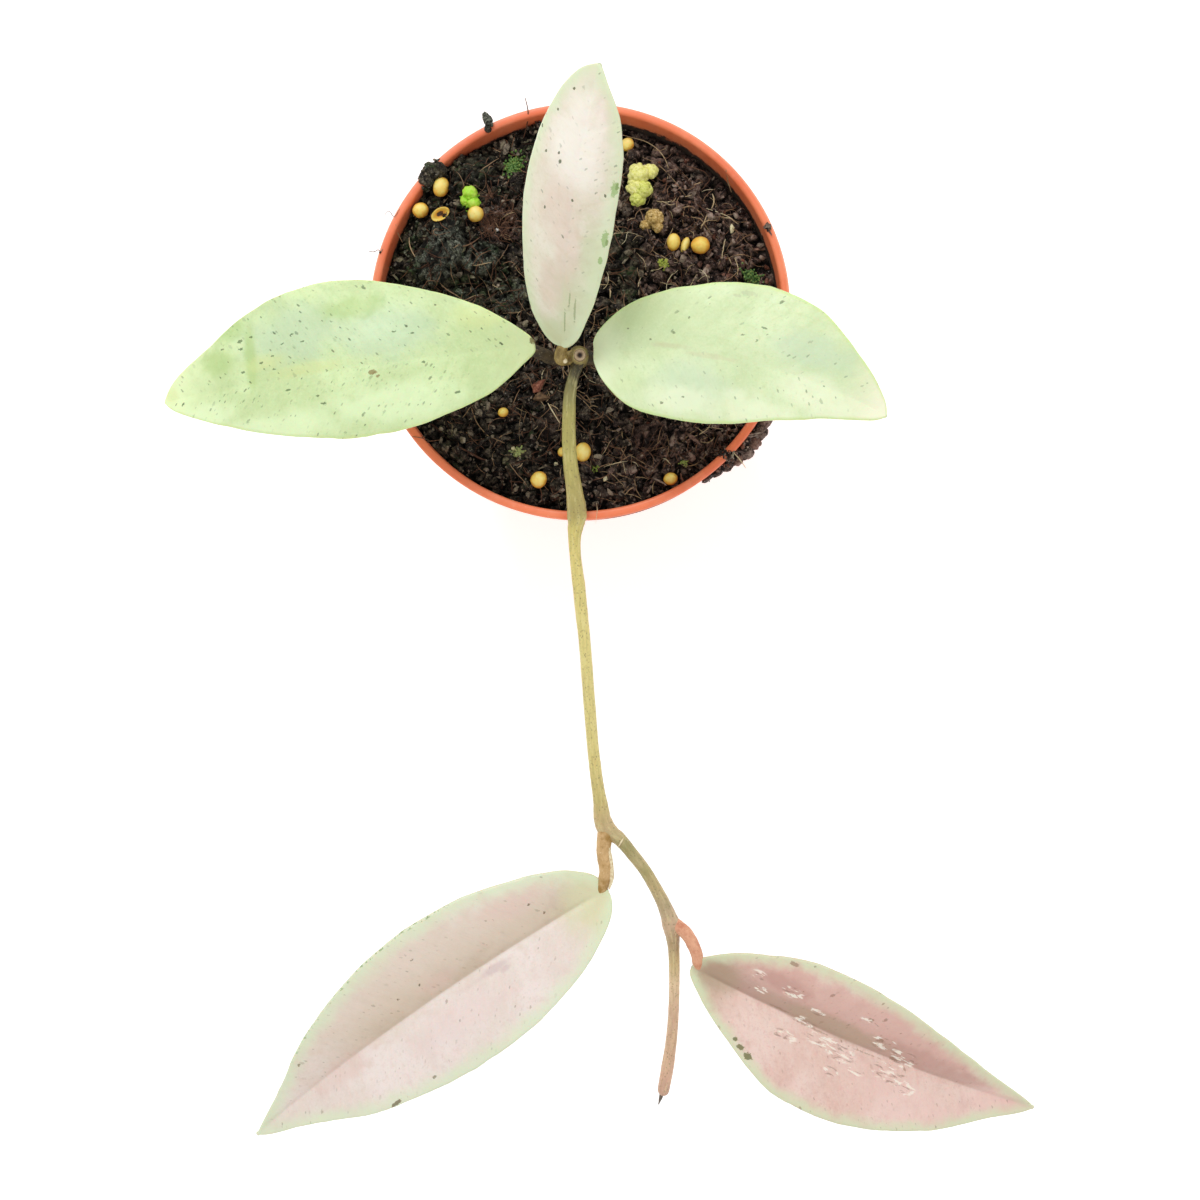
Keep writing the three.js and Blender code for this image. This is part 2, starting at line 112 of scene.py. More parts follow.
# Fertiliser granules: x, y, radius, how long each one is along its heading in degrees, and how orange.
GRANULES = [
    (-28.2, 25.6, 1.75, 1.14, 80, 0.35), (-32.4, 21.0, 1.6, 1.04, 10, 0.5),
    (-21.1, 19.9, 1.65, 1.03, 40, 0.2), (9.6, 35.5, 1.4, 1.1, 30, 0.3), (19.1, 14.9, 1.5, 1.22, 85, 0.4),
    (21.5, 14.6, 1.1, 1.6, 70, 0.1), (24.6, 14.1, 1.85, 1.06, 5, 0.8), (-15.7, -20.0, 1.0, 1.1, 20, 0.5),
    (-8.3, -34.0, 1.7, 1.05, 50, 0.3), (0.6, -28.3, 1.75, 1.14, 85, 0.3),
    (-3.9, -28.0, 0.8, 1.2, 80, 0.6), (18.4, -33.8, 1.35, 1.05, 10, 0.45),
]

# A spent granule, split open: x, y, half length, half width, heading and tilt in degrees.
HALF_SHELL = (-27.9, 19.1, 2.0, 1.2, 30, 24)
# Clumps of grown-together mineral grains: name, material, and bodies at x, y with half lengths and height.
CLUMPS = [
    (
        "clump_yellow", "yellow",
        [(12.0, 28.9, 2.5, 2.4, 2.3), (14.4, 29.6, 1.8, 1.7, 1.9), (11.4, 26.6, 2.2, 2.1, 2.0)],
    ),
    ("clump_lower", "lime", [(12.9, 25.8, 2.2, 1.9, 2.0), (11.8, 24.1, 1.9, 1.7, 1.7)]),
    (
        "clump_brown", "brown",
        [(15.2, 19.9, 2.1, 2.0, 2.0), (13.4, 18.6, 1.4, 1.2, 1.3), (15.8, 18.1, 1.3, 1.4, 1.2)],
    ),
]

# Moss: name, x, y, half length, half width, heading in degrees, leaves, their size and width, colour.
MOSS = [
    ("moss_lime_leaves", -22.0, 22.6, 1.6, 1.6, 0, 60, 0.8, 0.26, "8CCB2C"),
    ("moss_dark", -13.6, 30.8, 2.5, 1.7, 60, 170, 0.85, 0.3, "4E7430"),
    ("moss_rim", 34.9, 8.0, 2.4, 1.3, -35, 110, 0.8, 0.26, "4C7038"),
    ("moss_crumb", 17.0, 10.2, 0.9, 0.8, 0, 60, 0.7, 0.2, "A9B44C"),
    ("moss_front", -12.7, -28.1, 1.2, 0.9, 10, 60, 0.7, 0.2, "B4BC7C"),
    ("moss_sprig", 3.1, -31.5, 0.9, 0.5, 30, 24, 0.8, 0.16, "8FA84C"),
    ("moss_sprig_right", 21.1, -30.5, 0.8, 0.5, 0, 20, 0.7, 0.16, "9AA85A"),
]

# Cushions of moss: x, y, half lengths and height.
CUSHIONS = [(-22.3, 24.2, 1.7, 1.6, 1.7), (-21.6, 22.4, 1.5, 1.4, 1.3), (-23.3, 22.9, 1.1, 1.2, 1.1)]

# Small loose bits: name, material, x, y, half length, width and height, heading in degrees.
BITS = [
    ("bark_chip_red", "bark_red", -8.5, -14.6, 2.1, 1.5, 0.9, 20),
    ("bark_chip_brown", "bark_brown", -8.0, -16.9, 1.9, 1.2, 0.8, 5),
    ("seed", "cream", 31.1, 17.6, 1.5, 0.55, 0.5, 84), ("bead", "white", -17.0, 17.3, 0.5, 0.5, 0.5, 0),
    ("chip_front", "cream", 5.3, -33.5, 0.8, 0.5, 0.35, 40),
    ("chip_front_left", "cream", -5.1, -30.4, 0.6, 0.4, 0.3, 10),
    ("chip_left", "cream", -13.6, -27.3, 0.7, 0.5, 0.4, -20),
    ("chip_back", "cream", 3.5, 30.0, 0.7, 0.4, 0.3, 70),
]

# Where loose crumbs keep off: x, y, radius.
KEEP_CLEAR = [
    *((x, y, radius) for x, y, radius, *_ in GRANULES), (HALF_SHELL[0], HALF_SHELL[1], 1.9),
    *((x, y, 0.9 * max(a, b)) for _, _, bodies in CLUMPS for x, y, a, b, _ in bodies),
    *((x, y, 0.9 * max(a, b)) for _, _, x, y, a, b, _, _ in BITS),
    *((x, y, 0.8 * max(a, b)) for _, x, y, a, b, *_ in MOSS),
]

# Soil on and over the rim: angles in degrees, radii, heights, crumbs, their size and hue.
RIM_HEAPS = [
    ((133.5, 141.5), (39.0, 42.6), (69.9, 71.2), 110, 0.5, -0.4),
    ((-46.6, -43.4), (40.4, 43.2), (69.9, 70.5), 45, 0.36, 0.6),
    ((-52, -29), (42.2, 43.6), (61.5, 69.2), 240, 0.5, 0.9),
    ((22, 24.6), (40.9, 42.2), (70.0, 70.4), 10, 0.45, 0.8),
    ((162.4, 163.6), (41.7, 42.5), (70.0, 70.4), 5, 0.28, 0.4),
    ((97, 108), (38.4, 40.3), (66.0, 67.6), 60, 0.5, 0.0),
    ((-141.6, -138.6), (40.0, 41.2), (69.0, 70.0), 16, 0.3, 0.5),
]
# Bigger lumps there: angle in degrees, distance from the pot's axis, height, half lengths across, along
# the rim and upward, how pale and the hue.
RIM_LUMPS = [
    (115.6, 42.9, 70.9, 1.9, 1.0, 1.1, 0.3, -1.0), (116.6, 41.4, 70.4, 1.0, 0.8, 0.7, 0.2, -0.8),
    (136.2, 41.4, 70.2, 2.2, 1.6, 1.2, 0.35, -0.5), (139.2, 41.0, 70.0, 1.9, 1.4, 1.1, 0.4, -0.3),
    (134.0, 40.4, 70.2, 1.6, 1.2, 1.2, 0.3, -0.5), (-30.5, 43.6, 66.4, 1.5, 2.0, 1.9, 0.55, 1.2),
    (-33.8, 43.9, 66.0, 1.7, 2.0, 2.0, 0.4, 1.1), (-36.8, 44.0, 65.6, 1.8, 1.7, 2.0, 0.6, 1.3),
    (-40.0, 44.0, 65.4, 1.8, 1.9, 2.1, 0.45, 1.0), (-43.0, 43.6, 65.2, 1.5, 1.6, 1.9, 0.6, 1.3),
    (-46.0, 43.2, 65.6, 1.2, 1.7, 1.6, 0.3, 0.9), (-49.2, 42.8, 66.0, 0.9, 1.7, 1.4, 0.35, 0.9),
    (-52.6, 42.5, 66.2, 0.7, 1.6, 1.2, 0.3, 0.8),
]

# Stations of the stems: x, y, z, radius.
MAIN_STEM = [
    (-4.6, 3.6, 32, 1.9), (-2.0, -3.2, 50, 1.8), (-0.5, -8.4, 64, 1.7), (0.0, -10.1, 72, 1.7),
    (0.2, -11.1, 77, 2.2), (0.4, -11.6, 79.8, 1.7), (0.5, -12.1, 82.6, 1.75), (0.7, -12.7, 86, 1.3),
    (0.9, -13.3, 89.5, 1.22),
]
TRAILING_STEM = [
    (0.4, -12.8, 82.4, 1.3), (-0.7, -16.4, 82.7, 1.08), (-1.3, -19.6, 82.5, 1.2),
    (-1.5, -23.3, 81.6, 1.28), (-1.6, -27.9, 79.9, 1.35), (-1.3, -33.0, 77.6, 1.45),
    (-0.7, -37.5, 75, 1.65), (-0.4, -41.8, 72.25, 1.95), (-0.8, -45.6, 71.9, 1.35),
    (0.1, -56.6, 71.2, 1.28), (1.1, -66.5, 70.5, 1.2), (2.0, -78.5, 69.5, 1.18), (2.9, -89.5, 68.3, 1.2),
    (4.1, -98.6, 67, 1.4), (5.3, -104.2, 66, 1.85), (8.1, -106.6, 65.6, 1.4), (10.6, -109.6, 65.1, 1.25),
    (13.1, -112.9, 64.4, 1.2), (15.1, -116.3, 63.6, 1.25), (17, -120.1, 62.6, 1.4),
    (18.4, -124.3, 61.5, 1.75), (18.9, -128.4, 60.8, 1.25), (19.1, -134.7, 59.6, 1.1),
    (19, -141.1, 58.4, 1.1), (18.5, -148.5, 57, 1.15), (17.7, -154.5, 55.8, 1.3),
    (16.9, -159.2, 55.0, 1.2),
]
DEAD_TIP = [(17.0, -158.4, 55.0, 0.5), (16.4, -160.6, 54.7, 0.4), (15.9, -162.3, 54.3, 0.1)]

# The trailing stem's colour at distances along it. Its first 5 mm are dark with painted shade.
TRAILING_COLOURS = [
    (0, "2E2A18"), (3.5, "3E381F"), (5, "7A7444"), (7, "8E8850"), (10, "A9A05A"), (15, "B2A95E"),
    (21.5, "BBB064"), (28, "B5A662"), (31.7, "B3A360"), (35.5, "D2C371"), (41, "DCCB7C"), (53, "DED084"),
    (68, "DCCE86"), (80, "DACA81"), (88, "C9B874"), (94.8, "C6AC7E"), (98, "B8A97A"), (101, "9E9560"),
    (104, "BBAB7C"), (107, "A99C66"), (110.5, "BBA676"), (115, "BBA682"), (119.5, "CBAB8D"),
    (123.5, "AF9570"), (127, "C9B080"), (132, "E0C4A0"), (138, "D1AE91"), (147, "D2AD90"),
    (152, "D6AC93"), (155, "CDA48E"),
]

# Corky places of the stems: x, y, z, radius and strength.
MAIN_SCURF = [(0.2, -11.1, 77, 3, 0.7), (0.5, -12.1, 82.6, 2.6, 0.6), (0.9, -13.3, 89.5, 1.6, 0.5)]
TRAILING_SCURF = [
    (-0.3, -41.8, 72.25, 2.2, 0.62), (5.3, -104.2, 66, 2.6, 0.62), (18.4, -124.3, 61.5, 2.4, 0.5),
    (18.6, -128.6, 60.6, 1.0, 0.9), (0.3, -13.2, 82.6, 2.0, 0.6), (16.9, -158.8, 55, 1.6, 0.5),
]
TRAILING_NODES = [(x, y, z) for x, y, z, *_ in TRAILING_SCURF[:3]]

MAIN_COLOURS = [(0, "4A3C26"), (30, "5E5230"), (48, "7A6E3E"), (54, "9A8C54"), (58, "B5A468")]

# A leaf's midrib starts at base and runs in the direction heading, which turns by bend. Its slope goes
# from rise[0] to rise[1] degrees and the blade leans sideways by roll. The blade folds up along the
# midrib by fold degrees, and its margins curl down by curl. left and right are the half widths at the
# eighths of the leaf. stalk lists the stations of the stalk.
LEAF_MIDDLE = 1.8  # thickness beside the midrib
LEAF_EDGE = 0.9
LEAF_TIP_SLIMMING = 0.7
LEAF_TIP_SHARE = 0.2
LEAF_TIP_HALF_WIDTH = 0.45
LEAF_BASE_SLOPE = 1.25
LEAF_KEEL = (0.9, 1.6, 0.7)  # height, width and share of the length
LEAF_MARGIN_ROUND = 0.6
LEAF_SEAT_DEPTH = 1.4
LEAF_SEAT = [(2.4, 1.05), (5.2, 0.7)]
LEAF_RINGS = 260
LEAF_WAVES = [(0.26, 9), (0.13, 3.2), (0.04, 1.1)]  # the margin's waves: depth and length
LEAF_SIDES_APART = 50  # between the noise of the left and of the right margin
VEIN_SLANT = 0.62
VEIN_GAP = 4.6
LEAF_COLUMNS = 112

LEAVES = {
    "leaf_left": {
        "base": (-7.5, -11, 87),
        "heading": -172.8,
        "bend": -1.5,
        "length": 75.9,
        "rise": (16, -26),
        "roll": (-4, 4),
        "fold": 8,
        "curl": 1.6,
        "left": (3.2, 8.6, 12.4, 13.1, 10.1, 5.8, 2.4),
        "right": (3.8, 9.2, 14.4, 17.6, 15.6, 8.4, 3.4),
        "stalk": [(-0.6, -11.2, 77.0, 1.5), (-4.8, -11.5, 78.0, 1.3), (-6.5, -11.5, 81.8, 1.25)],
    },
    "leaf_back": {
        "base": (-2.7, -11.5, 87.5),
        "heading": 79.1,
        "bend": -12.5,
        "length": 55.6,
        "rise": (58, 26),
        "roll": (-22, -22),
        "fold": 4,
        "curl": 2.5,
        "left": (4.6, 8.0, 10.0, 11.3, 10.5, 7.7, 3.8),
        "right": (2.6, 4.8, 6.8, 7.9, 8.1, 6.0, 2.0),
        "stalk": [(-0.6, -12.1, 82.4, 1.35), (-2.6, -12.8, 83.4, 1.25), (-3.0, -12.7, 85.4, 1.2)],
        "seat": [(1.0, 0.95)],
    },
    "leaf_right": {
        "base": (3.1, -11.4, 86),
        "heading": -15.1,
        "bend": -24.5,
        "length": 59.2,
        "rise": (34, -14),
        "roll": (8, 12),
        "fold": 7,
        "curl": 1.6,
        "left": (4.2, 8.6, 11.8, 14.0, 12.6, 7.2, 2.8),
        "right": (6.2, 11.0, 12.8, 12.1, 8.6, 4.6, 2.0),
        "stalk": [(1.2, -11.2, 77.0, 1.5), (4.8, -11.4, 77.6, 1.3), (6.0, -11.5, 80.4, 1.2)],
    },
    "leaf_front_left": {
        "base": (5.7, -116.4, 66),
        "heading": -144.2,
        "bend": 13.6,
        "length": 92.7,
        "rise": (10, -24),
        "roll": (0, 0),
        "fold": 15,
        "curl": 1,
        "left": (6.1, 11.9, 15.4, 15.5, 11.9, 5.6, 1.9),
        "right": (6.1, 10.9, 14.3, 14.2, 10.4, 4.4, 1.2),
        "stalk": [(5.2, -104.6, 66.1, 1.6), (4.8, -108.6, 66.4, 1.45), (5.2, -113.2, 66.5, 1.3)],
    },
    "leaf_front_right": {
        "base": (22.4, -132.6, 62),
        "heading": -23.1,
        "bend": 5.3,
        "length": 79.6,
        "rise": (12, -26),
        "roll": (0, 0),
        "fold": 15,
        "curl": 1,
        "left": (4.2, 8.8, 12.2, 11.3, 7.4, 3.7, 1.3),
        "right": (3.7, 9.2, 15.2, 15.2, 11.1, 4.9, 1.6),
        "stalk": [(18.9, -123.9, 61.6, 1.4), (21.6, -126.0, 62.2, 1.3), (23.3, -129.2, 62.3, 1.25)],
    },
}

# What each leaf looks like. relief holds the depth of the midrib's groove, the height of the rolling
# unevenness and of the side veins, and dents are swells of the blade: s, x, half length, half width and
# height. A margin has a colour, a width and a share. Casts are soft tints, some of them painted shade or
# painted light on one half of a blade or along a fold, and spots are crisp marks: a colour, a share, and
# places s along the midrib, x to its left, half length and half width.
SCRATCH_MARKS = [
    (30.5, -1.8, 4.2, 1.2), (34.0, -2.6, 2.6, 1.4), (25.0, 0.3, 2.4, 0.7), (44.5, -2.6, 3.2, 1.6),
    (46.5, 1.0, 2.6, 1.6), (41.3, 2.6, 2.4, 1.4), (36.8, 5.4, 1.8, 0.9), (22.4, -3.8, 2.2, 0.9),
    (20.5, 4.6, 2.0, 1.0), (13.0, 5.0, 1.4, 0.8), (14.5, 2.4, 1.2, 0.6), (33.3, -6.5, 1.4, 0.8),
    (26.5, 3.2, 1.4, 0.6), (48.8, -4.2, 2.0, 1.2), (38.0, -4.6, 1.6, 0.7),
]

LEAF_LOOKS = {
    "leaf_left": {
        "slot": "leaf_green",
        "relief": (0.07, 0.34, 0.06),
        "dents": [(56, -4, 1.6, 5.0, -0.45), (60, -6, 2.5, 5.0, 0.3), (30, -9, 6, 3, -0.3)],
        "colours": ("CADDA4", "D8EBB4", "B9D292"),
        "base": "CDD9A4",
        "tip": "EEFFC8",
        "margin": ("DDF2A0", 0.6, 0.6),
        "under": "B9CC93",
        "fleck": ("3E5630", 1.0, 1.0),
        "casts": [
            ("C2D8BE", 0.45, [(45, -8, 13, 7), (28, -6, 11, 6)]),
            # Painted shade: darker green at the upper margin's shoulder and along a fold across the blade.
            (
                "B4CF84", 0.65,
                [(60.5, -12.5, 5, 4.5), (55, -5, 1.5, 7), (34, -11.5, 7, 2.5), (62, -5, 4, 3)],
            ),
            # Painted light: a paler sheen along the lower half of the blade.
            ("E8FBCA", 0.7, [(54, 9.5, 20, 3.5), (28, 7.5, 14, 4), (66, 5, 8, 3)]),
            ("DDE7A0", 0.45, [(52, -3.5, 5, 1.8), (44, -1, 9, 1.4), (10, -7, 6, 3), (73.5, -1, 2, 2)]),
        ],
        "spots": [
            ("8A7038", 0.75, [(31.3, 1.5, 1.0, 0.6), (30.4, 2.4, 0.5, 0.35)]),
            (
                "4C6638", 0.75,
                [
                    (52.7, -3.5, 0.55, 0.28), (50.3, -4.5, 0.45, 0.25), (50.3, -2, 0.65, 0.22),
                    (56.9, -2.5, 0.5, 0.3), (56.9, -7, 0.6, 0.3), (57, -8.5, 0.6, 0.35),
                    (54.6, -9, 0.5, 0.28), (60.7, -7.5, 0.6, 0.25), (48.2, -6.5, 0.5, 0.25),
                    (46.0, -8.0, 0.45, 0.25), (43.9, -6.2, 0.5, 0.22), (41.3, 6, 0.6, 0.25),
                    (42.2, 4.5, 0.5, 0.22), (47.9, 2.5, 0.6, 0.25), (26.4, -5.6, 0.5, 0.25),
                    (23.0, -4.8, 0.5, 0.25), (21.6, 0.9, 0.5, 0.25), (16.0, 7.2, 0.7, 0.3),
                ],
            ),
            ("6E5F34", 0.85, [(0.4, -1.2, 1.0, 0.9), (1.6, -3.4, 0.7, 0.4)]),
        ],
        # Painted shade: this stalk is coloured near black, as it lies in shadow under the leaves.
        "stalk": ("2E271A", "564A30"),
    },
    "leaf_back": {
        "slot": "leaf_blush",
        "relief": (0.1, 0.25, 0.05),
        "dents": [(20, -3, 6, 3, -0.25), (42, 3, 7, 4, 0.25)],
        "colours": ("E6DCC8", "F0E9D8", "DAD3B4"),
        # Painted shade: the base colour darkens the steep lower part of the blade, which gets less light.
        "base": "C6C398",
        "tip": "E6E6CC",
        "margin": ("DCEAC2", 3.6, 0.75),
        "under": "BAC596",
        "fleck": ("55603A", 0.5, 0.7),
        "casts": [
            ("CBD8A8", 0.55, [(10, -2, 12, 5), (22, -5, 9, 3), (4, 0, 5, 5)]),
            ("E6CDBF", 0.5, [(49, -3, 3, 2), (30, 2.5, 8, 4), (14, 2.4, 7, 3), (22, 0, 9, 3)]),
            # Painted light: the flatter upper part of the blade is made paler.
            ("FFF9EE", 0.75, [(42, 0.5, 9, 6)]),
        ],
        "spots": [
            (
                "4F5A30", 0.85,
                [
                    (37.9, 3.5, 0.45, 0.4), (39.3, 4, 0.4, 0.3), (38.6, 7, 0.35, 0.3),
                    (46.2, 6, 0.35, 0.3), (42.4, 9, 0.35, 0.3), (28.8, 5.5, 0.4, 0.3), (32, 0, 0.35, 0.3),
                    (34.8, -6, 0.4, 0.25), (50.4, 3.5, 0.35, 0.3),
                ],
            ),
            ("7C9150", 0.5, [(7.3, -0.6, 3.4, 0.22), (10.4, -2.6, 3.4, 0.25), (12.5, -1.4, 2.5, 0.18)]),
            ("93B566", 0.7, [(36.3, -7.4, 1.7, 0.7), (26.8, -7.0, 1.9, 0.7), (22.4, -6.6, 1.0, 0.5)]),
            ("76934E", 0.6, [(36.8, -7.7, 0.8, 0.3), (26.4, -7.4, 0.8, 0.3)]),
        ],
        "stalk": ("75602F", "B8A05C"),
    },
    "leaf_right": {
        "slot": "leaf_green",
        "relief": (0.08, 0.32, 0.05),
        "dents": [(18, 6, 6, 4, 0.3), (34, -5, 8, 4, -0.25)],
        "colours": ("D4E5B4", "E2F1C4", "C8DBA4"),
        # Painted light: the base is made paler, against the shade where it bends away.
        "base": "F2FFD6",
        "tip": "FFFFE2",
        "margin": ("CFEA94", 0.9, 0.7),
        "under": "BDD096",
        "fleck": ("4C6438", 0.45, 0.75),
        "casts": [
            ("CFE2C4", 0.5, [(22, -6, 9, 5), (42, 5, 8, 4)]),
            ("D2D0A8", 0.45, [(16.3, 0.6, 4, 0.6), (25, -0.4, 6, 0.5)]),
            ("F6FFDC", 0.6, [(36, -9, 14, 4), (46, -2, 9, 4), (20, -9, 8, 3)]),
            ("CFE2A2", 0.25, [(9, 7, 6, 4), (8, -6, 5, 3)]),
        ],
        "spots": [
            (
                "54693C", 0.65,
                [
                    (17, 3, 0.45, 0.25), (12.6, 1.5, 0.4, 0.22), (15.9, -10, 0.5, 0.3),
                    (20.4, -8.5, 0.4, 0.25), (29.6, 4.5, 0.4, 0.25), (19.6, 6, 0.35, 0.25),
                    (32.9, 6.5, 0.7, 0.25), (32.2, 4, 0.35, 0.25), (8.0, 3.4, 0.35, 0.22),
                ],
            ),
            ("BCC3A0", 0.4, [(28.9, 12, 1.8, 0.5), (27.0, 11.2, 0.9, 0.3)]),
        ],
        # Painted shade: this stalk is coloured near black, as it lies in shadow under the leaves.
        "stalk": ("2E271A", "564A30"),
    },
    "leaf_front_left": {
        "slot": "leaf_blush",
        "relief": (0.3, 0.28, 0.04),
        "dents": [(30, 8, 9, 4, 0.25), (58, -7, 9, 4, -0.2)],
        "colours": ("E6D8CE", "EDE1DA", "DCCBBF"),
        "base": "D8D2AE",
        "tip": "DFD0C2",
        "margin": ("D9E8C4", 4.4, 0.75),
        "under": "C3BFA0",
        "fleck": ("7C6E50", 0.5, 0.6),
        "casts": [
            # Painted shade: the upper half of the blade, which slopes away from the light, is made darker
            # tan.
            ("DCCBB8", 0.6, [(45, -8, 32, 8), (20, -6, 14, 6)]),
            ("DFBFB4", 0.4, [(38.2, -2.5, 5, 2), (18, -7.5, 7, 3), (66, 1, 8, 3)]),
            ("E8D2CE", 0.4, [(40, 6, 14, 4)]),
            ("C9AEB0", 0.45, [(27.2, 1.6, 4, 0.9), (25.5, 2.6, 1.5, 0.7)]),
            ("D6D6A8", 0.6, [(2, 0, 9, 8)]),
        ],
        "fold_shade": ("BFA98E", 0.75, -1, 7.5, 12),
        "nibble": ("7F9C64", -1, 24, 76),
        "spots": [
            ("5F5230", 0.8, [(46.9, -4, 0.4, 0.3), (41.7, -4, 0.35, 0.25), (40, -9, 0.4, 0.3)]),
            ("6E5C3A", 0.8, [(15.1, -5.5, 0.4, 0.3), (13.3, -2.5, 0.35, 0.3), (59.7, 12.3, 1.6, 0.5)]),
            ("7A6A44", 0.7, [(49.8, 12.5, 0.5, 0.4), (72.4, -5.5, 0.5, 0.3)]),
        ],
        "stalk": ("A27C3C", "CFAA76"),
    },
    "leaf_front_right": {
        "slot": "leaf_rose",
        "relief": (0.34, 0.34, 0.05),
        "dents": [(24, 6, 8, 4, 0.3), (50, -6, 9, 4, -0.2)],
        "colours": ("E0C0B3", "E8CFC4", "D1A99D"),
        "base": "AC9676",
        "tip": "D6A79E",
        "margin": ("D3DDB8", 3.4, 0.85),
        "under": "BFA78C",
        "fleck": ("7C5A42", 0.55, 0.7),
        "casts": [
            # Painted shade, partly the leaf's own colour: the upper half and the crease beside the midrib
            # are darker rose.
            ("D2A89C", 0.75, [(40, 6, 30, 6), (19.9, 6, 11, 4)]),
            ("B98E84", 0.5, [(18, 5.5, 7, 2), (50, 2.5, 9, 2), (60, 1.5, 8, 1.5)]),
            ("A8957A", 0.55, [(30, 1.8, 15, 2.0), (5, 1, 6, 4)]),
            # Painted light, partly the leaf's own colour: the lower half is made paler.
            ("EAC9C0", 0.5, [(50, -7, 14, 5), (70, -1, 8, 3)]),
        ],
        "fold_shade": ("AE8A7C", 0.8, 1, 5.0, 5),
        # Scratched scars, partly real marks and partly painted light: pale streaks for glints and dark ones
        # for their shadows.
        "scratches": ("F3EBDD", "8E7060", SCRATCH_MARKS),
        "spots": [
            ("75754A", 0.9, [(17.4, -10.5, 1.0, 0.8), (15.4, -9.5, 0.9, 0.6), (13.9, -8.5, 0.6, 0.5)]),
            ("8F7458", 0.45, [(19.4, 0.5, 3, 0.22), (27, -0.3, 5, 0.2), (38, -0.6, 5, 0.2)]),
            (
                "9A7862", 0.7,
                [(44.8, 0.5, 1.4, 0.7), (40.3, 3, 0.8, 0.5), (36.8, 6, 0.7, 0.5), (18.4, 10, 1.2, 0.5)],
            ),
        ],
        "stalk": ("C98464", "E2A886"),
    },
}

# The camera and the lights, in metres.
CAMERA_PLACE = (0.01203, -0.07161, 0.36916)
CAMERA_AIM = (-0.0262, 0.0436, -0.9987)
CAMERA_LENS = 45
CAMERA_SENSOR = 36

LIGHTS = [("key", (-0.25, 0.75, 1.1), 0.45, 6.5), ("glint", (0.5, -0.55, 0.9), 0.2, 1.0)]
LIGHT_AIM = (0, -0.05, 0.05)
FLOOR_HALF_WIDTH = 3.0  # in metres
FLOOR_GLOW = 0.42  # what the white floor gives off, so that it stays as bright as in the photo
SKY_STRENGTH = 0.7


# ---------------------------------------------------------------- seeded noise

def random_numbers(seed):
    """An endless row of seeded random numbers in 0..1."""
    state = seed
    while True:
        state = (state * 1664525 + 1013904223) % 4294967296
        yield state / 4294967296


def lattice(cell, seed):
    """A random number in 0..1 for each whole-numbered point, the same on every run."""
    x, y, z = cell.T
    mixed = ((x * 73856093) ^ (y * 19349663) ^ (z * 83492791) ^ (seed * 265443576)) & 0xFFFFFFFF
    mixed = ((mixed ^ (mixed >> 13)) * 1274126177) & 0xFFFFFFFF
    mixed = ((mixed ^ (mixed >> 15)) * 668265263) & 0xFFFFFFFF
    return ((mixed ^ (mixed >> 14)) & 0xFFFFFF) / 0xFFFFFF


def noise(points, size, seed=0):
    """Smooth noise in -1..1 at points, with features of the given size."""
    place = np.asarray(points, float) / size
    cell = np.floor(place).astype(np.int64)
    part = place - cell
    part = part * part * (3 - 2 * part)
    total = np.zeros(len(place))
    for corner in np.ndindex(2, 2, 2):
        weight = np.prod(np.where(corner, part, 1 - part), axis=1)
        total += weight * lattice(cell + np.array(corner), seed)
    return 2 * total - 1


def fractal(points, size, octaves=4, seed=0):
    """Noise with finer and finer detail on top, in about -1..1."""
    layers = [noise(points, size / 2**k, seed + k) / 2**k for k in range(octaves)]
    return sum(layers) / 1.5


def broken(x, y, size, seed):
    """Height in 0..1 of a bed of broken bits of about the given size, tilted, with cracks between."""
    place = np.stack([x, y], axis=1) / size
    cell = np.floor(place).astype(np.int64)
    first = np.full(len(place), 9.0)
    second = np.full(len(place), 9.0)
    height = np.zeros(len(place))
    for step in np.ndindex(3, 3):
        near = cell + np.array(step) - 1
        flat = np.column_stack([near, np.zeros(len(near), np.int64)])
        off = place - near - np.stack([lattice(flat, seed), lattice(flat, seed + 1)], axis=1)
        lean = np.stack([lattice(flat, seed + 3), lattice(flat, seed + 4)], axis=1) - 0.5
        top = 0.2 + 0.6 * lattice(flat, seed + 2) + 1.4 * (off * lean).sum(axis=1)
        gap = np.hypot(off[:, 0], off[:, 1])
        closer = gap < first
        second = np.where(closer, first, np.minimum(second, gap))
        height = np.where(closer, top, height)
        first = np.where(closer, gap, first)
    return np.clip(height, 0, 1.1) * smooth(second - first, 0.0, 0.25)


def bell(distance, spread):
    return np.exp(-((distance / spread) ** 2))


def smooth(value, low, high):
    part = np.clip((value - low) / (high - low), 0, 1)
    return part * part * (3 - 2 * part)


def hermite(values, slopes, k, f, span=1):
    """A smooth curve from values k to k + 1 at the fraction f of the span between them."""
    start = values[k] * (2 * f**3 - 3 * f**2 + 1) + slopes[k] * span * (f**3 - 2 * f**2 + f)
    return start + values[k + 1] * (3 * f**2 - 2 * f**3) + slopes[k + 1] * span * (f**3 - f**2)


def circle(sides):
    """Angles evenly round a circle."""
    return 2 * np.pi * np.arange(sides) / sides


def polar(distance, angle):
    return distance * math.cos(angle), distance * math.sin(angle)


def level_points(x, y):
    """Points at height 0, for noise that doesn't change with the height."""
    return np.stack([x, y, np.zeros_like(x)], axis=1)


def turned(angle, middle):
    """Degrees in -180..180 from the direction middle to angle."""
    return (angle - middle + 180) % 360 - 180


# ---------------------------------------------------------------- meshes

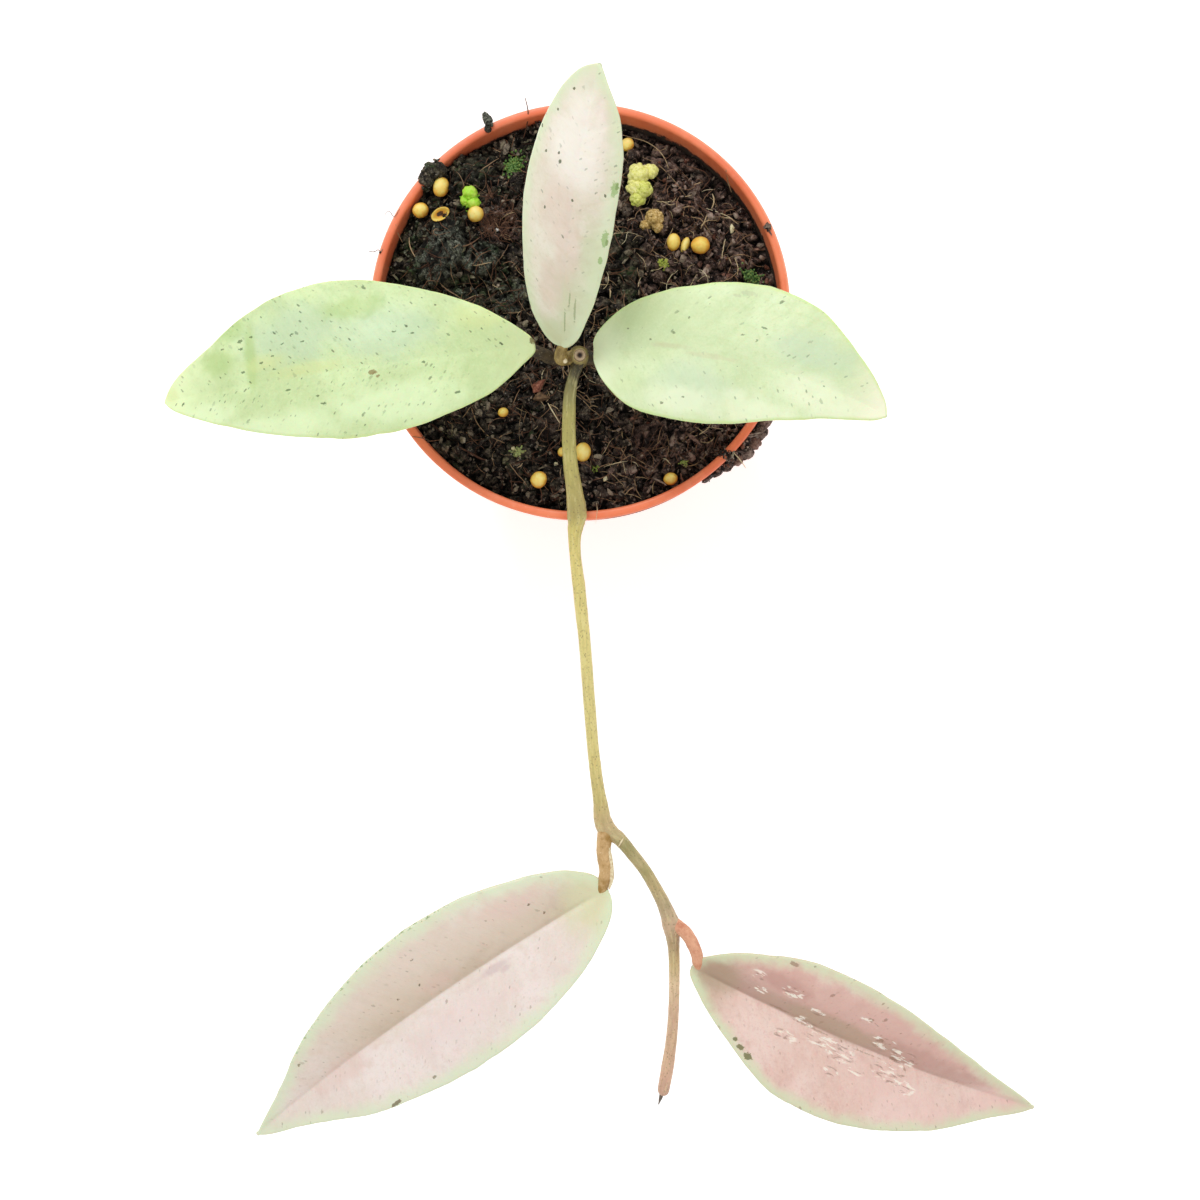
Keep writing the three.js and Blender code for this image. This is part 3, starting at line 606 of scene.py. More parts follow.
class Pile:
    """Points, faces and per-point values of many small pieces that make up one object."""

    def __init__(self):
        self.points = []
        self.faces = []
        self.values = {}
        self.count = 0

    def add(self, points, faces, **values):
        points = np.asarray(points, float)
        self.points.append(points)
        self.faces.extend(np.asarray(block) + self.count for block in faces)
        for name, value in values.items():
            value = np.asarray(value, float)
            if value.ndim == 0:
                value = np.full(len(points), value)
            self.values.setdefault(name, []).append(value)
        self.count += len(points)

    def build(self, name, material):
        """The finished object, which rides on the plant's one body."""
        mesh = bpy.data.meshes.new(name)
        points = np.concatenate(self.points) * MM
        faces = [face for block in self.faces for face in block.tolist()]
        mesh.from_pydata(points.tolist(), [], faces)
        for key, blocks in self.values.items():
            add_values(mesh, key, np.concatenate(blocks))
        mesh.materials.append(material)
        mesh.shade_smooth()
        piece = bpy.data.objects.new(name, mesh)
        bpy.context.scene.collection.objects.link(piece)
        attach(piece, BODY)
        return piece


def build_one(name, slot, material, points, faces, **values):
    """An object of one body."""
    pile = Pile()
    pile.add(points, faces, **values)
    return pile.build(name, material)


def add_values(mesh, name, values):
    """Stores one number or one vector for each point, for the materials to read."""
    kind, field = ("FLOAT_VECTOR", "vector") if values.ndim == 2 else ("FLOAT", "value")
    attribute = mesh.attributes.new(name, kind, "POINT")
    attribute.data.foreach_set(field, values.astype(np.float32).ravel())


def loft_faces(rings, sides):
    """Quads between rings of points, and a fan from each end ring to one of the two last points."""
    i, j = np.meshgrid(np.arange(rings - 1), np.arange(sides), indexing="ij")
    a = i * sides + j
    b = i * sides + (j + 1) % sides
    quads = np.stack([a, b, b + sides, a + sides], axis=-1).reshape(-1, 4)
    j = np.arange(sides)
    k = (j + 1) % sides
    last = (rings - 1) * sides
    head = np.stack([np.full(sides, rings * sides), k, j], axis=1)
    tail = np.stack([np.full(sides, rings * sides + 1), last + j, last + k], axis=1)
    return [quads, head, tail]


def unit_ball(subdivisions):
    ball = bmesh.new()
    bmesh.ops.create_icosphere(ball, subdivisions=subdivisions, radius=1)
    points = np.array([vertex.co[:] for vertex in ball.verts])
    faces = np.array([[vertex.index for vertex in face.verts] for face in ball.faces])
    ball.free()
    return points, faces


BALLS = {level: unit_ball(level) for level in (2, 3, 4, 5)}


def random_turn(rng):
    """A random rotation matrix."""
    q = rng.normal(size=4)
    w, x, y, z = q / np.linalg.norm(q)
    return np.array([
        [1 - 2 * (y * y + z * z), 2 * (x * y - z * w), 2 * (x * z + y * w)],
        [2 * (x * y + z * w), 1 - 2 * (x * x + z * z), 2 * (y * z - x * w)],
        [2 * (x * z - y * w), 2 * (y * z + x * w), 1 - 2 * (x * x + y * y)],
    ])


def turn_z(degrees):
    c, s = polar(1, math.radians(degrees))
    return np.array([[c, -s, 0], [s, c, 0], [0, 0, 1]])


def chunk(level, rng, cuts=9, roughness=0.14):
    """A ball of about radius 1 with flat broken faces."""
    points, faces = BALLS[level]
    for _ in range(cuts):
        way = rng.normal(size=3)
        way /= np.linalg.norm(way)
        over = np.maximum(points @ way - rng.uniform(0.4, 0.85), 0)
        points = points - np.outer(over, way)
    reach = 1 + roughness * fractal(points + rng.uniform(-90, 90, 3), 0.7, 3)
    return points * reach[:, None], faces


def cauliflower(rng, puffs=30, level=5):
    """A ball of about radius 1 covered in round puffs, and how deep in a hollow each point is."""
    points, faces = BALLS[level]
    reach = np.full(len(points), 0.62)
    golden = math.pi * (3 - math.sqrt(5))
    for k in range(puffs):
        height = 1 - (k + 0.5) / puffs * 1.7
        turn = k * golden + rng.normal(0, 0.25)
        flat = math.sqrt(max(0.0, 1 - height * height))
        way = np.array([flat * math.cos(turn), flat * math.sin(turn), height])
        spread = rng.uniform(0.3, 0.62)
        gap = np.arccos(np.clip(points @ way, -1, 1)) / spread
        puff = np.sqrt(np.clip(1 - gap * gap, 0, 1))
        reach = np.maximum(reach, 0.66 + rng.uniform(0.2, 0.34) * puff)
    deep = 1 - np.clip((reach - 0.62) / 0.34, 0, 1)
    reach = reach + 0.035 * fractal(points + rng.uniform(-90, 90, 3), 0.16, 3)
    return points * reach[:, None], faces, deep


def smooth_path(stations, spacing):
    """Centres, radii and distances at even steps along a smooth curve through stations."""
    stations = np.array(stations, float)
    steps = np.linalg.norm(np.diff(stations[:, :3], axis=0), axis=1)
    chord = np.concatenate([[0], np.cumsum(steps)])
    slope = np.gradient(stations, chord, axis=0)
    along = np.linspace(0, chord[-1], max(3, round(chord[-1] / spacing)))
    k = np.clip(np.searchsorted(chord, along, side="right") - 1, 0, len(chord) - 2)
    span = (chord[k + 1] - chord[k])[:, None]
    f = (along[:, None] - chord[k][:, None]) / span
    curve = hermite(stations, slope, k, f, span)
    return curve[:, :3], curve[:, 3], along


DOME = np.radians([25, 50, 70, 83])


def tube(stations, sides, spacing, relief=None):
    """A round body along stations, closed by a dome at each end. relief(points, along, angle) is added
    to its radius. Returns points, faces, and each point's distance along it and angle round it."""
    centres, radii, along = smooth_path(stations, spacing)
    head = centres[0] - centres[1]
    tail = centres[-1] - centres[-2]
    head /= np.linalg.norm(head)
    tail /= np.linalg.norm(tail)
    rise, fall = np.sin(DOME), np.cos(DOME)
    centres = np.concatenate([
        centres[0] + np.outer(rise[::-1] * radii[0], head), centres,
        centres[-1] + np.outer(rise * radii[-1], tail),
    ])
    along = np.concatenate([-rise[::-1] * radii[0], along, along[-1] + rise * radii[-1]])
    radii = np.concatenate([fall[::-1] * radii[0], radii, fall * radii[-1]])
    tangents = np.gradient(centres, axis=0)
    tangents /= np.linalg.norm(tangents, axis=1)[:, None]
    side = np.cross((0, 0, 1), tangents[0])
    if np.linalg.norm(side) < 0.3:
        side = np.array((1.0, 0, 0))
    across = np.empty_like(centres)
    for i, tangent in enumerate(tangents):
        side = side - tangent * (side @ tangent)
        side /= np.linalg.norm(side)
        across[i] = side
    upward = np.cross(tangents, across)
    angle = circle(sides)
    ways = np.cos(angle)[None, :, None] * across[:, None] + np.sin(angle)[None, :, None] * upward[:, None]
    reach = np.repeat(radii[:, None], sides, axis=1)
    if relief:
        points = (centres[:, None] + ways * reach[..., None]).reshape(-1, 3)
        push = relief(points, np.repeat(along, sides), np.tile(angle, len(along)))
        reach = reach + push.reshape(reach.shape) * np.minimum(1, reach / radii.max() * 1.5)
    points = centres[:, None] + ways * reach[..., None]
    ends = [centres[0] + head * radii[0] * 0.12, centres[-1] + tail * radii[-1] * 0.12]
    points = np.concatenate([points.reshape(-1, 3), ends])
    far = np.concatenate([np.repeat(along, sides), [along[0], along[-1]]])
    turn = np.concatenate([np.tile(angle, len(along)), [0, 0]])
    return points, loft_faces(len(along), sides), far, turn


# ---------------------------------------------------------------- materials

def rgb(text):
    """A shader colour from its hex code."""
    parts = [int(text[i : i + 2], 16) / 255 for i in (0, 2, 4)]
    linear = [p / 12.92 if p <= 0.04045 else ((p + 0.055) / 1.055) ** 2.4 for p in parts]
    return (*linear, 1)


class Paint:
    """Builds one procedural material out of short calls. Places are in millimetres."""

    def __init__(self, name="", material=None):
        self.material = material or bpy.data.materials.new(name)
        self.material.use_nodes = True
        self.tree = self.material.node_tree
        self.shader = self.tree.nodes["Principled BSDF"]

    def node(self, kind, sockets, output=0, **settings):
        made = self.tree.nodes.new(kind)
        for key, value in settings.items():
            setattr(made, key, value)
        for key, value in sockets.items():
            self.plug(made.inputs[key], value)
        return made.outputs[output]

    def plug(self, socket, value):
        if isinstance(value, bpy.types.NodeSocket):
            self.tree.links.new(value, socket)
        elif isinstance(value, str):
            socket.default_value = rgb(value)
        else:
            socket.default_value = value

    def value(self, name):
        return self.node("ShaderNodeAttribute", {}, "Fac", attribute_name=name)

    def vector(self, name):
        return self.node("ShaderNodeAttribute", {}, "Vector", attribute_name=name)

    def place(self, stretch=(1, 1, 1)):
        """The point on the object, in millimetres, stretched along the axes."""
        where = self.node("ShaderNodeTexCoord", {}, "Object")
        scale = tuple(1000 * part for part in stretch)
        return self.node("ShaderNodeVectorMath", {0: where, 1: scale}, operation="MULTIPLY")

    def scaled(self, where, scale):
        return self.node("ShaderNodeVectorMath", {0: where, 1: scale}, operation="MULTIPLY")

    def axis(self, where, letter):
        return self.node("ShaderNodeSeparateXYZ", {0: where}, letter)

    def noise(self, where, size, detail=3, roughness=0.5, distortion=0.0):
        sockets = {"Vector": where, "Scale": 1 / size, "Detail": detail}
        sockets |= {"Roughness": roughness, "Distortion": distortion}
        return self.node("ShaderNodeTexNoise", sockets)

    def spots(self, where, size, output, dimensions="2D"):
        """Distance to, or random colour of, the nearest strewn point. 2D uses only X and Y."""
        sockets = {"Vector": where, "Scale": 1 / size}
        return self.node("ShaderNodeTexVoronoi", sockets, output, voronoi_dimensions=dimensions)

    def dimmed(self, colour, light):
        """The colour with its brightness multiplied by light."""
        return self.node("ShaderNodeVectorMath", {0: colour, "Scale": light}, operation="SCALE")

    def math(self, operation, a, b):
        return self.node("ShaderNodeMath", {0: a, 1: b}, operation=operation)

    def plus(self, a, b):
        return self.math("ADD", a, b)

    def minus(self, a, b):
        return self.math("SUBTRACT", a, b)

    def times(self, a, b):
        return self.math("MULTIPLY", a, b)

    def swing(self, value, reach):
        """A noise of 0..1 turned into one about zero, reach wide."""
        return self.times(self.minus(value, 0.5), reach)

    def step(self, value, low, high, bottom=0.0, top=1.0):
        """value turned smoothly from bottom, at low, to top, at high."""
        sockets = {"Value": value, "From Min": low, "From Max": high, "To Min": bottom, "To Max": top}
        return self.node("ShaderNodeMapRange", sockets, interpolation_type="SMOOTHSTEP")

    def mix(self, share, a, b, blend="MIX"):
        made = self.tree.nodes.new("ShaderNodeMix")
        made.data_type = "RGBA"
        made.blend_type = blend
        for key, value in ((0, share), (6, a), (7, b)):
            self.plug(made.inputs[key], value)
        return made.outputs[2]

    def coats(self, colour, *layers):
        """The colour under thin layers, each a value, where it starts and ends, a share and a tint."""
        for value, low, high, share, tint in layers:
            colour = self.mix(self.step(value, low, high, 0, share), colour, tint)
        return colour

    def ramp(self, value, stops):
        made = self.tree.nodes.new("ShaderNodeValToRGB")
        elements = made.color_ramp.elements
        elements.remove(elements[1])
        for i, (place, colour) in enumerate(stops):
            element = elements[0] if i == 0 else elements.new(place)
            element.position = place
            element.color = rgb(colour)
        self.plug(made.inputs[0], value)
        return made.outputs[0]

    def bump(self, height, depth, before=None):
        """A normal that follows height, where a height of 1 stands depth millimetres proud."""
        sockets = {"Height": height, "Distance": depth * MM, "Strength": 1.0}
        if before:
            sockets["Normal"] = before
        return self.node("ShaderNodeBump", sockets)

    def finish(self, **sockets):
        for key, value in sockets.items():
            self.plug(self.shader.inputs[key.replace("_", " ")], value)
        return self.material


def pot_material():
    """Satin moulded plastic in a salmon orange, smeared with soil near and over the rim, with a painted
    highlight along the rim's outer edge.
    """
    paint = Paint("pot_plastic")
    where = paint.place()
    cloud = paint.noise(where, 18, 3, 0.55)
    streak = paint.noise(paint.place((1, 1, 0.12)), 2.2, 4, 0.6)
    fine = paint.noise(where, 0.9, 3, 0.6)
    colour = paint.ramp(cloud, [(0.3, "EE7349"), (0.55, "F68257"), (0.75, "FA8F66")])
    colour = paint.coats(colour, (streak, 0.5, 0.8, 0.3, "D9653E"))
    dust = paint.step(paint.noise(where, 5, 5, 0.65), 0.5, 0.7, 0, 0.2)
    colour = paint.mix(dust, colour, "FAAA8A")
    # Painted highlight: the rounded outer edge of the rim is made paler, as if light caught it.
    edge_highlight = paint.times(paint.value("edge_highlight"), paint.step(fine, 0.3, 0.6, 0.35, 0.75))
    colour = paint.mix(edge_highlight, colour, "FDB595")
    dirt = paint.value("dirt")
    spotty = paint.noise(where, 1.6, 6, 0.68)
    smear = paint.step(paint.plus(dirt, paint.times(spotty, 0.9)), 0.88, 1.12)
    film = paint.times(paint.step(dirt, 0.0, 0.8), 0.6)
    colour = paint.mix(film, colour, "98583B")
    colour = paint.mix(smear, colour, paint.ramp(fine, [(0.3, "1E1712"), (0.6, "3A2A1F"), (0.8, "5B4634")]))
    scratch = paint.step(paint.noise(paint.place((1, 1, 0.3)), 0.5, 2), 0.66, 0.72, 0, 0.35)
    colour = paint.mix(paint.times(scratch, paint.step(cloud, 0.5, 0.6)), colour, "FAC6AE")
    rough = paint.step(smear, 0, 1, 0.42, 0.9)
    rough = paint.plus(rough, paint.step(fine, 0.3, 0.7, -0.04, 0.06))
    normal = paint.bump(fine, 0.02)
    normal = paint.bump(paint.times(smear, spotty), 0.35, normal)
    return paint.finish(Base_Color=colour, Roughness=rough, Normal=normal, IOR=1.47)


def soil_material():
    """Moist dark peat: black-brown crumbs with paler grains, painted glints of water and a green film.
    Painted shade darkens its hollows and the undersides of its crumbs.
    """
    paint = Paint("potting_soil")
    where = paint.place()
    tone = paint.value("tone")
    hue = paint.value("hue")
    crumb = paint.noise(where, 1.3, 6, 0.72, 0.6)
    grain = paint.noise(where, 0.42, 4, 0.7, 0.4)
    mixed = paint.plus(paint.times(crumb, 0.6), paint.times(grain, 0.4))
    mixed = paint.plus(mixed, paint.times(paint.minus(tone, 0.4), 0.42))
    colour = paint.ramp(mixed, [
        (0.36, "0F0C0A"), (0.44, "282220"), (0.52, "4A4238"), (0.6, "766B5D"), (0.68, "8F8270"),
        (0.8, "B4A892"),
    ])
    warm = paint.ramp(mixed, [
        (0.36, "17100F"), (0.44, "3C2C28"), (0.52, "6E5950"), (0.6, "8A756B"), (0.68, "9E8A7E"),
        (0.8, "BBA89A"),
    ])
    colour = paint.mix(paint.step(hue, 0.1, 1.0), colour, warm)
    colour = paint.mix(paint.step(hue, 1.05, 1.5), colour, "D8A490", "MULTIPLY")
    colour = paint.mix(paint.step(hue, 0.0, -1.0), colour, "D3E0C6", "MULTIPLY")
    clod = paint.step(hue, -0.7, -1.05, 0, 0.75)
    grey = paint.ramp(grain, [(0.36, "191A16"), (0.47, "4A4D45"), (0.58, "868A7C"), (0.72, "B4B7A6")])
    colour = paint.mix(clod, colour, grey)
    film = paint.step(paint.noise(where, 3.6, 5, 0.65), 0.54, 0.66, 0, 0.6)
    leftward = paint.step(hue, 0.3, -0.4)
    colour = paint.mix(paint.times(film, leftward), colour, "3C5230")
    # Painted glints: small pale spots that stand for light caught on wet surfaces.
    glint = paint.noise(where, 0.55, 4, 0.75, 0.8)
    glint = paint.times(paint.step(glint, 0.6, 0.66, 0, 0.7), paint.value("open"))
    colour = paint.mix(glint, colour, "B5AEA4")
    # Painted shade: the colour is darkened where open is low, in hollows of the surface and under crumbs and
    # lumps.
    colour = paint.dimmed(colour, paint.step(paint.value("open"), 0.1, 0.75, 0.04, 1.12))
    wet = paint.noise(where, 1.8, 4, 0.65)
    rough = paint.step(wet, 0.4, 0.6, 0.28, 0.85)
    normal = paint.bump(crumb, 0.4)
    normal = paint.bump(grain, 0.22, normal)
    return paint.finish(Base_Color=colour, Roughness=rough, Normal=normal, Specular_IOR_Level=0.12)


def fibre_material():
    """Root hairs and straw in the soil, from dark brown to bleached tan."""
    paint = Paint("soil_fibre")
    tone = paint.value("tone")
    grain = paint.noise(paint.place(), 0.5, 3)
    shade = paint.plus(tone, paint.swing(grain, 0.4))
    colour = paint.ramp(shade, [
        (0.0, "1E140E"), (0.25, "4A3024"), (0.5, "7C5A46"), (0.7, "A88B6C"), (0.85, "CDB48C"),
        (1.0, "EFE3BE"),
    ])
    normal = paint.bump(grain, 0.05)
    return paint.finish(Base_Color=colour, Roughness=0.7, Normal=normal, Specular_IOR_Level=0.2)


def granule_material():
    """Dull resin-coated granules with painted light: pale yellow on top and orange at the sides.
    Dark brown blotches gather low down.
    """
    paint = Paint("fertiliser_granule")
    where = paint.place()
    lift = paint.value("lift")
    broad = paint.noise(where, 1.2, 3)
    grain = paint.noise(where, 0.22, 3, 0.65)
    # Painted light: lift makes the top of each granule pale yellow and its sides orange.
    level = paint.plus(lift, paint.swing(broad, 1.1))
    level = paint.minus(level, paint.times(paint.value("tone"), 0.45))
    colour = paint.ramp(paint.times(paint.plus(level, 1.0), 0.5), [
        (0.3, "C9822C"), (0.5, "EAA63C"), (0.66, "F4C553"), (0.82, "FBDD74"), (0.97, "FDE992"),
    ])
    speck = paint.step(paint.noise(where, 0.45, 5, 0.7), 0.62, 0.7, 0, 0.6)
    # Dark brown blotches, gathered toward the bottom of each granule.
    low = paint.step(lift, 0.3, -0.3)
    low_blotch = paint.step(paint.plus(paint.times(low, 0.6), grain), 0.85, 1.0)
    colour = paint.mix(speck, colour, "B98238")
    colour = paint.mix(low_blotch, colour, "4A3420")
    normal = paint.bump(grain, 0.05)
    sockets = {"Subsurface_Weight": 0.15, "Subsurface_Scale": 0.001, "Specular_IOR_Level": 0.4}
    return paint.finish(Base_Color=colour, Roughness=0.5, Normal=normal, **sockets)


def clump_material(name, dark, middle, light, hollow_shade):
    """Crumbly grains stuck together, with painted shade in their hollows."""
    paint = Paint(name)
    where = paint.place()
    grain = paint.noise(where, 0.4, 5, 0.65)
    broad = paint.noise(where, 1.5, 3, 0.5)
    colour = paint.ramp(grain, [(0.32, dark), (0.5, middle), (0.68, light)])
    # Painted shade: the colour darkens in the hollows.
    shade = paint.swing(broad, 0.8)
    shade = paint.plus(paint.value("hollow"), shade)
    colour = paint.coats(colour, (shade, 0.45, 1.0, 0.85, hollow_shade), (broad, 0.56, 0.68, 0.35, dark))
    normal = paint.bump(grain, 0.1)
    return paint.finish(Base_Color=colour, Roughness=0.75, Normal=normal, Specular_IOR_Level=0.3)


# The colours of the clumps and small bits: dark, middle, light, and the painted shade in their hollows and
# on their undersides.
CLUMP_COLOURS = {
    "yellow": ("D6D66E", "EFEB90", "FBF8BA", "A5A83C"),
    "lime": ("B9C54C", "DBDF74", "F1EFA4", "74882A"),
    "brown": ("7A5A2C", "C2A05C", "EAD3A0", "3A2A14"),
    "bark_red": ("5E3226", "86503E", "A4705C", "2B1712"),
    "bark_brown": ("3E2C1E", "644C36", "85694C", "1D140E"),
    "cream": ("CDBD8C", "E6DAB0", "F4ECCB", "85744A"),
    "white": ("D8D6CC", "ECEAE2", "F7F6F0", "8A877A"),
}


def moss_material(name, colour):
    """Cushion moss, darker at the foot of each tiny leaf and deep in a cushion: painted shade."""
    paint = Paint(name)
    tip = paint.value("tip")
    tone = paint.noise(paint.place(), 0.8, 3)
    shade = paint.plus(paint.times(tip, 0.7), paint.times(tone, 0.5))
    mixed = paint.mix(paint.step(shade, 0.12, 0.62), "20360E", colour)
    mixed = paint.coats(mixed, (shade, 0.75, 1.05, 0.45, "DCEB78"))
    return paint.finish(Base_Color=mixed, Roughness=0.5, Subsurface_Weight=0.1, Subsurface_Scale=0.0005)


def stem_material(name, stops, length, speckle, cork):
    """Stem bark whose colour changes along its length, given at stops in millimetres, with scurf."""
    paint = Paint(name)
    where = paint.vector("stem_mm")
    share = paint.math("DIVIDE", paint.axis(where, "X"), length)
    wander = paint.swing(paint.noise(paint.place(), 4, 3), 5 / length)
    colour = paint.ramp(paint.plus(share, wander), [(mm / length, tone) for mm, tone in stops])
    fine = paint.noise(paint.place(), 0.5, 5, 0.65)
    lines = paint.noise(paint.scaled(where, (0.16, 1, 1)), 0.55, 4, 0.6)
    colour = paint.coats(
        colour, (lines, 0.45, 0.7, 0.3, speckle[0]), (lines, 0.5, 0.3, 0.35, speckle[1]),
        (fine, 0.53, 0.66, 0.35, speckle[0]),
    )
    dots = paint.spots(paint.scaled(where, (0.7, 1, 1)), 0.55, "Distance", "3D")
    keep = paint.step(paint.noise(paint.place(), 1.3, 2), 0.38, 0.52)
    dot = paint.times(paint.step(dots, 0.3, 0.16), keep)
    colour = paint.mix(paint.times(dot, 0.6), colour, speckle[2])
    rough_edge = paint.swing(fine, 1.3)
    scurf = paint.step(paint.plus(paint.value("scurf"), rough_edge), 0.4, 0.75)
    colour = paint.mix(scurf, colour, paint.ramp(fine, [(0.3, cork[0]), (0.55, cork[1]), (0.75, cork[2])]))
    normal = paint.bump(lines, 0.08)
    normal = paint.bump(fine, 0.06, normal)
    sockets = {"Subsurface_Weight": 0.08, "Subsurface_Scale": 0.001}
    rough = paint.step(scurf, 0, 1, 0.5, 0.8)
    return paint.finish(Base_Color=colour, Roughness=rough, Normal=normal, **sockets)


def leaf_flecks(paint, veins, size, long, density, strongest):
    """How strongly short flecks along the side veins show. Most are faint and a few are strong."""
    flat = paint.scaled(veins, (1, 1 / long, 0))
    gap = paint.spots(flat, size, "Distance")
    pick = paint.spots(flat, size, "Color")
    present = paint.math("LESS_THAN", paint.axis(pick, "X"), density)
    reach = paint.step(paint.axis(pick, "Y"), 0, 1, 0.08, 0.18)
    ragged = paint.swing(paint.noise(veins, 0.3, 2), 0.3)
    inside = paint.step(paint.minus(paint.plus(gap, ragged), reach), 0.03, -0.05)
    strength = paint.times(paint.math("POWER", paint.axis(pick, "Z"), 3.0), strongest - 0.1)
    strength = paint.plus(strength, 0.1)
    return paint.times(paint.times(present, inside), strength)


def leaf_material(name, look):
    """Waxy leaf skin: clouded colour, soft casts, paler margin, flecks along the veins and crisp marks."""
    paint = Paint(name)
    where = paint.vector("leaf_mm")
    veins = paint.vector("vein_mm")
    along = paint.value("along")
    top = paint.value("top")
    broad = paint.noise(where, 13, 3, 0.5, 0.3)
    cloud = paint.noise(where, 4.2, 5, 0.6, 0.4)
    mottle = paint.noise(where, 1.1, 4, 0.65)
    grain = paint.noise(where, 0.45, 4, 0.6)
    streak = paint.noise(paint.scaled(veins, (1, 0.22, 1)), 1.5, 4, 0.62)
    middle, light, deep = look["colours"]
    colour = paint.mix(paint.step(broad, 0.38, 0.62), middle, light)
    colour = paint.coats(
        colour, (cloud, 0.5, 0.72, 0.45, deep), (streak, 0.5, 0.75, 0.3, deep),
        (streak, 0.5, 0.25, 0.45, light), (mottle, 0.5, 0.72, 0.45, deep),
        (mottle, 0.45, 0.28, 0.5, light), (grain, 0.52, 0.7, 0.35, deep), (grain, 0.48, 0.3, 0.4, light),
        (along, 0.16, 0.0, 0.8, look["base"]), (along, 0.8, 1.0, 0.85, look["tip"]),
    )
    if "fold_shade" in look:
        tint, share, *_ = look["fold_shade"]
        dusk = paint.plus(paint.value("fold"), paint.swing(mottle, 0.25))
        colour = paint.coats(colour, (dusk, 0.0, 1.0, share, tint))
    wander = paint.swing(cloud, 1.1)
    # Casts: soft tints, which on some leaves are painted shade or painted light.
    for i, (tint, share, _) in enumerate(look["casts"]):
        cast = paint.plus(paint.value(f"casts_{i}"), wander)
        colour = paint.coats(colour, (cast, 0.15, 0.85, share, tint))
    band_colour, band, band_share = look["margin"]
    ragged = paint.swing(cloud, band)
    near = paint.step(paint.plus(paint.value("edge"), ragged), band, 0.0)
    colour = paint.mix(paint.times(near, band_share), colour, band_colour)
    fleck_colour, density, strongest = look["fleck"]
    patchy = paint.step(paint.noise(where, 8, 3), 0.4, 0.62, 0.25, 1.0)
    patchy = paint.times(patchy, paint.step(along, 0.05, 0.4, 0.45 * density, 0.85 * density))
    patchy = paint.times(patchy, paint.step(along, 1.0, 0.85, 0.3, 1.0))
    small = leaf_flecks(paint, veins, 1.2, 1.7, patchy, 0.75 * strongest)
    large = leaf_flecks(paint, veins, 2.0, 1.5, paint.times(patchy, 0.35), 0.9 * strongest)
    fleck = paint.times(paint.math("MAXIMUM", small, large), top)
    colour = paint.mix(fleck, colour, fleck_colour)
    rough_edge = paint.swing(grain, 1.3)
    for i, (tint, share, _) in enumerate(look["spots"]):
        near = paint.value(f"spots_{i}")
        spot = paint.step(paint.plus(near, rough_edge), 0.42, 0.6, 0, share)
        colour = paint.mix(paint.times(spot, paint.step(near, 0.1, 0.25)), colour, tint)
    if "nibble" in look:
        bits = paint.step(paint.noise(where, 0.8, 4, 0.7), 0.53, 0.6, 0, 0.85)
        bits = paint.times(bits, paint.step(paint.value("edge"), 0.8, 0.35))
        colour = paint.mix(paint.times(bits, paint.value("nibble")), colour, look["nibble"][0])
    if "scratches" in look:
        pale, dark, _ = look["scratches"]
        hair = paint.noise(paint.scaled(where, (0.35, 1.3, 1)), 1.0, 4, 0.6, 0.6)
        near = paint.step(paint.value("scratch"), 0.15, 0.4)
        # Scratches: the dark streaks are painted shadow and the pale streaks painted glints, on partly real
        # scars.
        colour = paint.mix(paint.times(paint.step(hair, 0.44, 0.38, 0, 0.6), near), colour, dark)
        colour = paint.mix(paint.times(paint.step(hair, 0.54, 0.58, 0, 0.8), near), colour, pale)
    under = paint.mix(paint.step(cloud, 0.4, 0.7), look["under"], deep)
    colour = paint.mix(top, under, colour)
    wax = paint.step(cloud, 0.3, 0.7, 0.4, 0.55)
    normal = paint.bump(grain, 0.02)
    normal = paint.bump(streak, 0.12, normal)
    sockets = {"Subsurface_Weight": 0.12, "Subsurface_Scale": 0.0015, "Specular_IOR_Level": 0.35}
    return paint.finish(Base_Color=colour, Roughness=wax, Normal=normal, **sockets)


def stalk_material(name, dark, light):
    """A leaf stalk's skin, streaked lengthwise and scurfy."""
    paint = Paint(name)
    where = paint.vector("stem_mm")
    lines = paint.noise(paint.scaled(where, (0.3, 1, 1)), 0.9, 4, 0.6)
    fine = paint.noise(paint.place(), 0.4, 5, 0.65)
    patch = paint.noise(where, 2.6, 3, 0.6)
    colour = paint.mix(paint.step(patch, 0.36, 0.62), dark, light)
    colour = paint.coats(
        colour, (lines, 0.5, 0.3, 0.4, dark), (lines, 0.5, 0.7, 0.4, light),
        (fine, 0.56, 0.7, 0.4, "6A4E30"), (fine, 0.44, 0.3, 0.35, "EED9B4"),
    )
    normal = paint.bump(fine, 0.08)
    return paint.finish(Base_Color=colour, Roughness=0.6, Normal=normal)


# ---------------------------------------------------------------- pot

def outer_wall(z):
    return POT["base_radius"] + (WALL_TOP_RADIUS - POT["base_radius"]) * z / LIP_UNDERSIDE


def inner_wall(z):
    low = outer_wall(SHOULDER) - POT["wall"]
    high = MOUTH_RADIUS - POT["mouth_draft"]
    heights = [0, SHOULDER, LIP_FLOOR, POT["height"]]
    return np.interp(z, heights, [outer_wall(0) - POT["wall"], low, high, MOUTH_RADIUS])


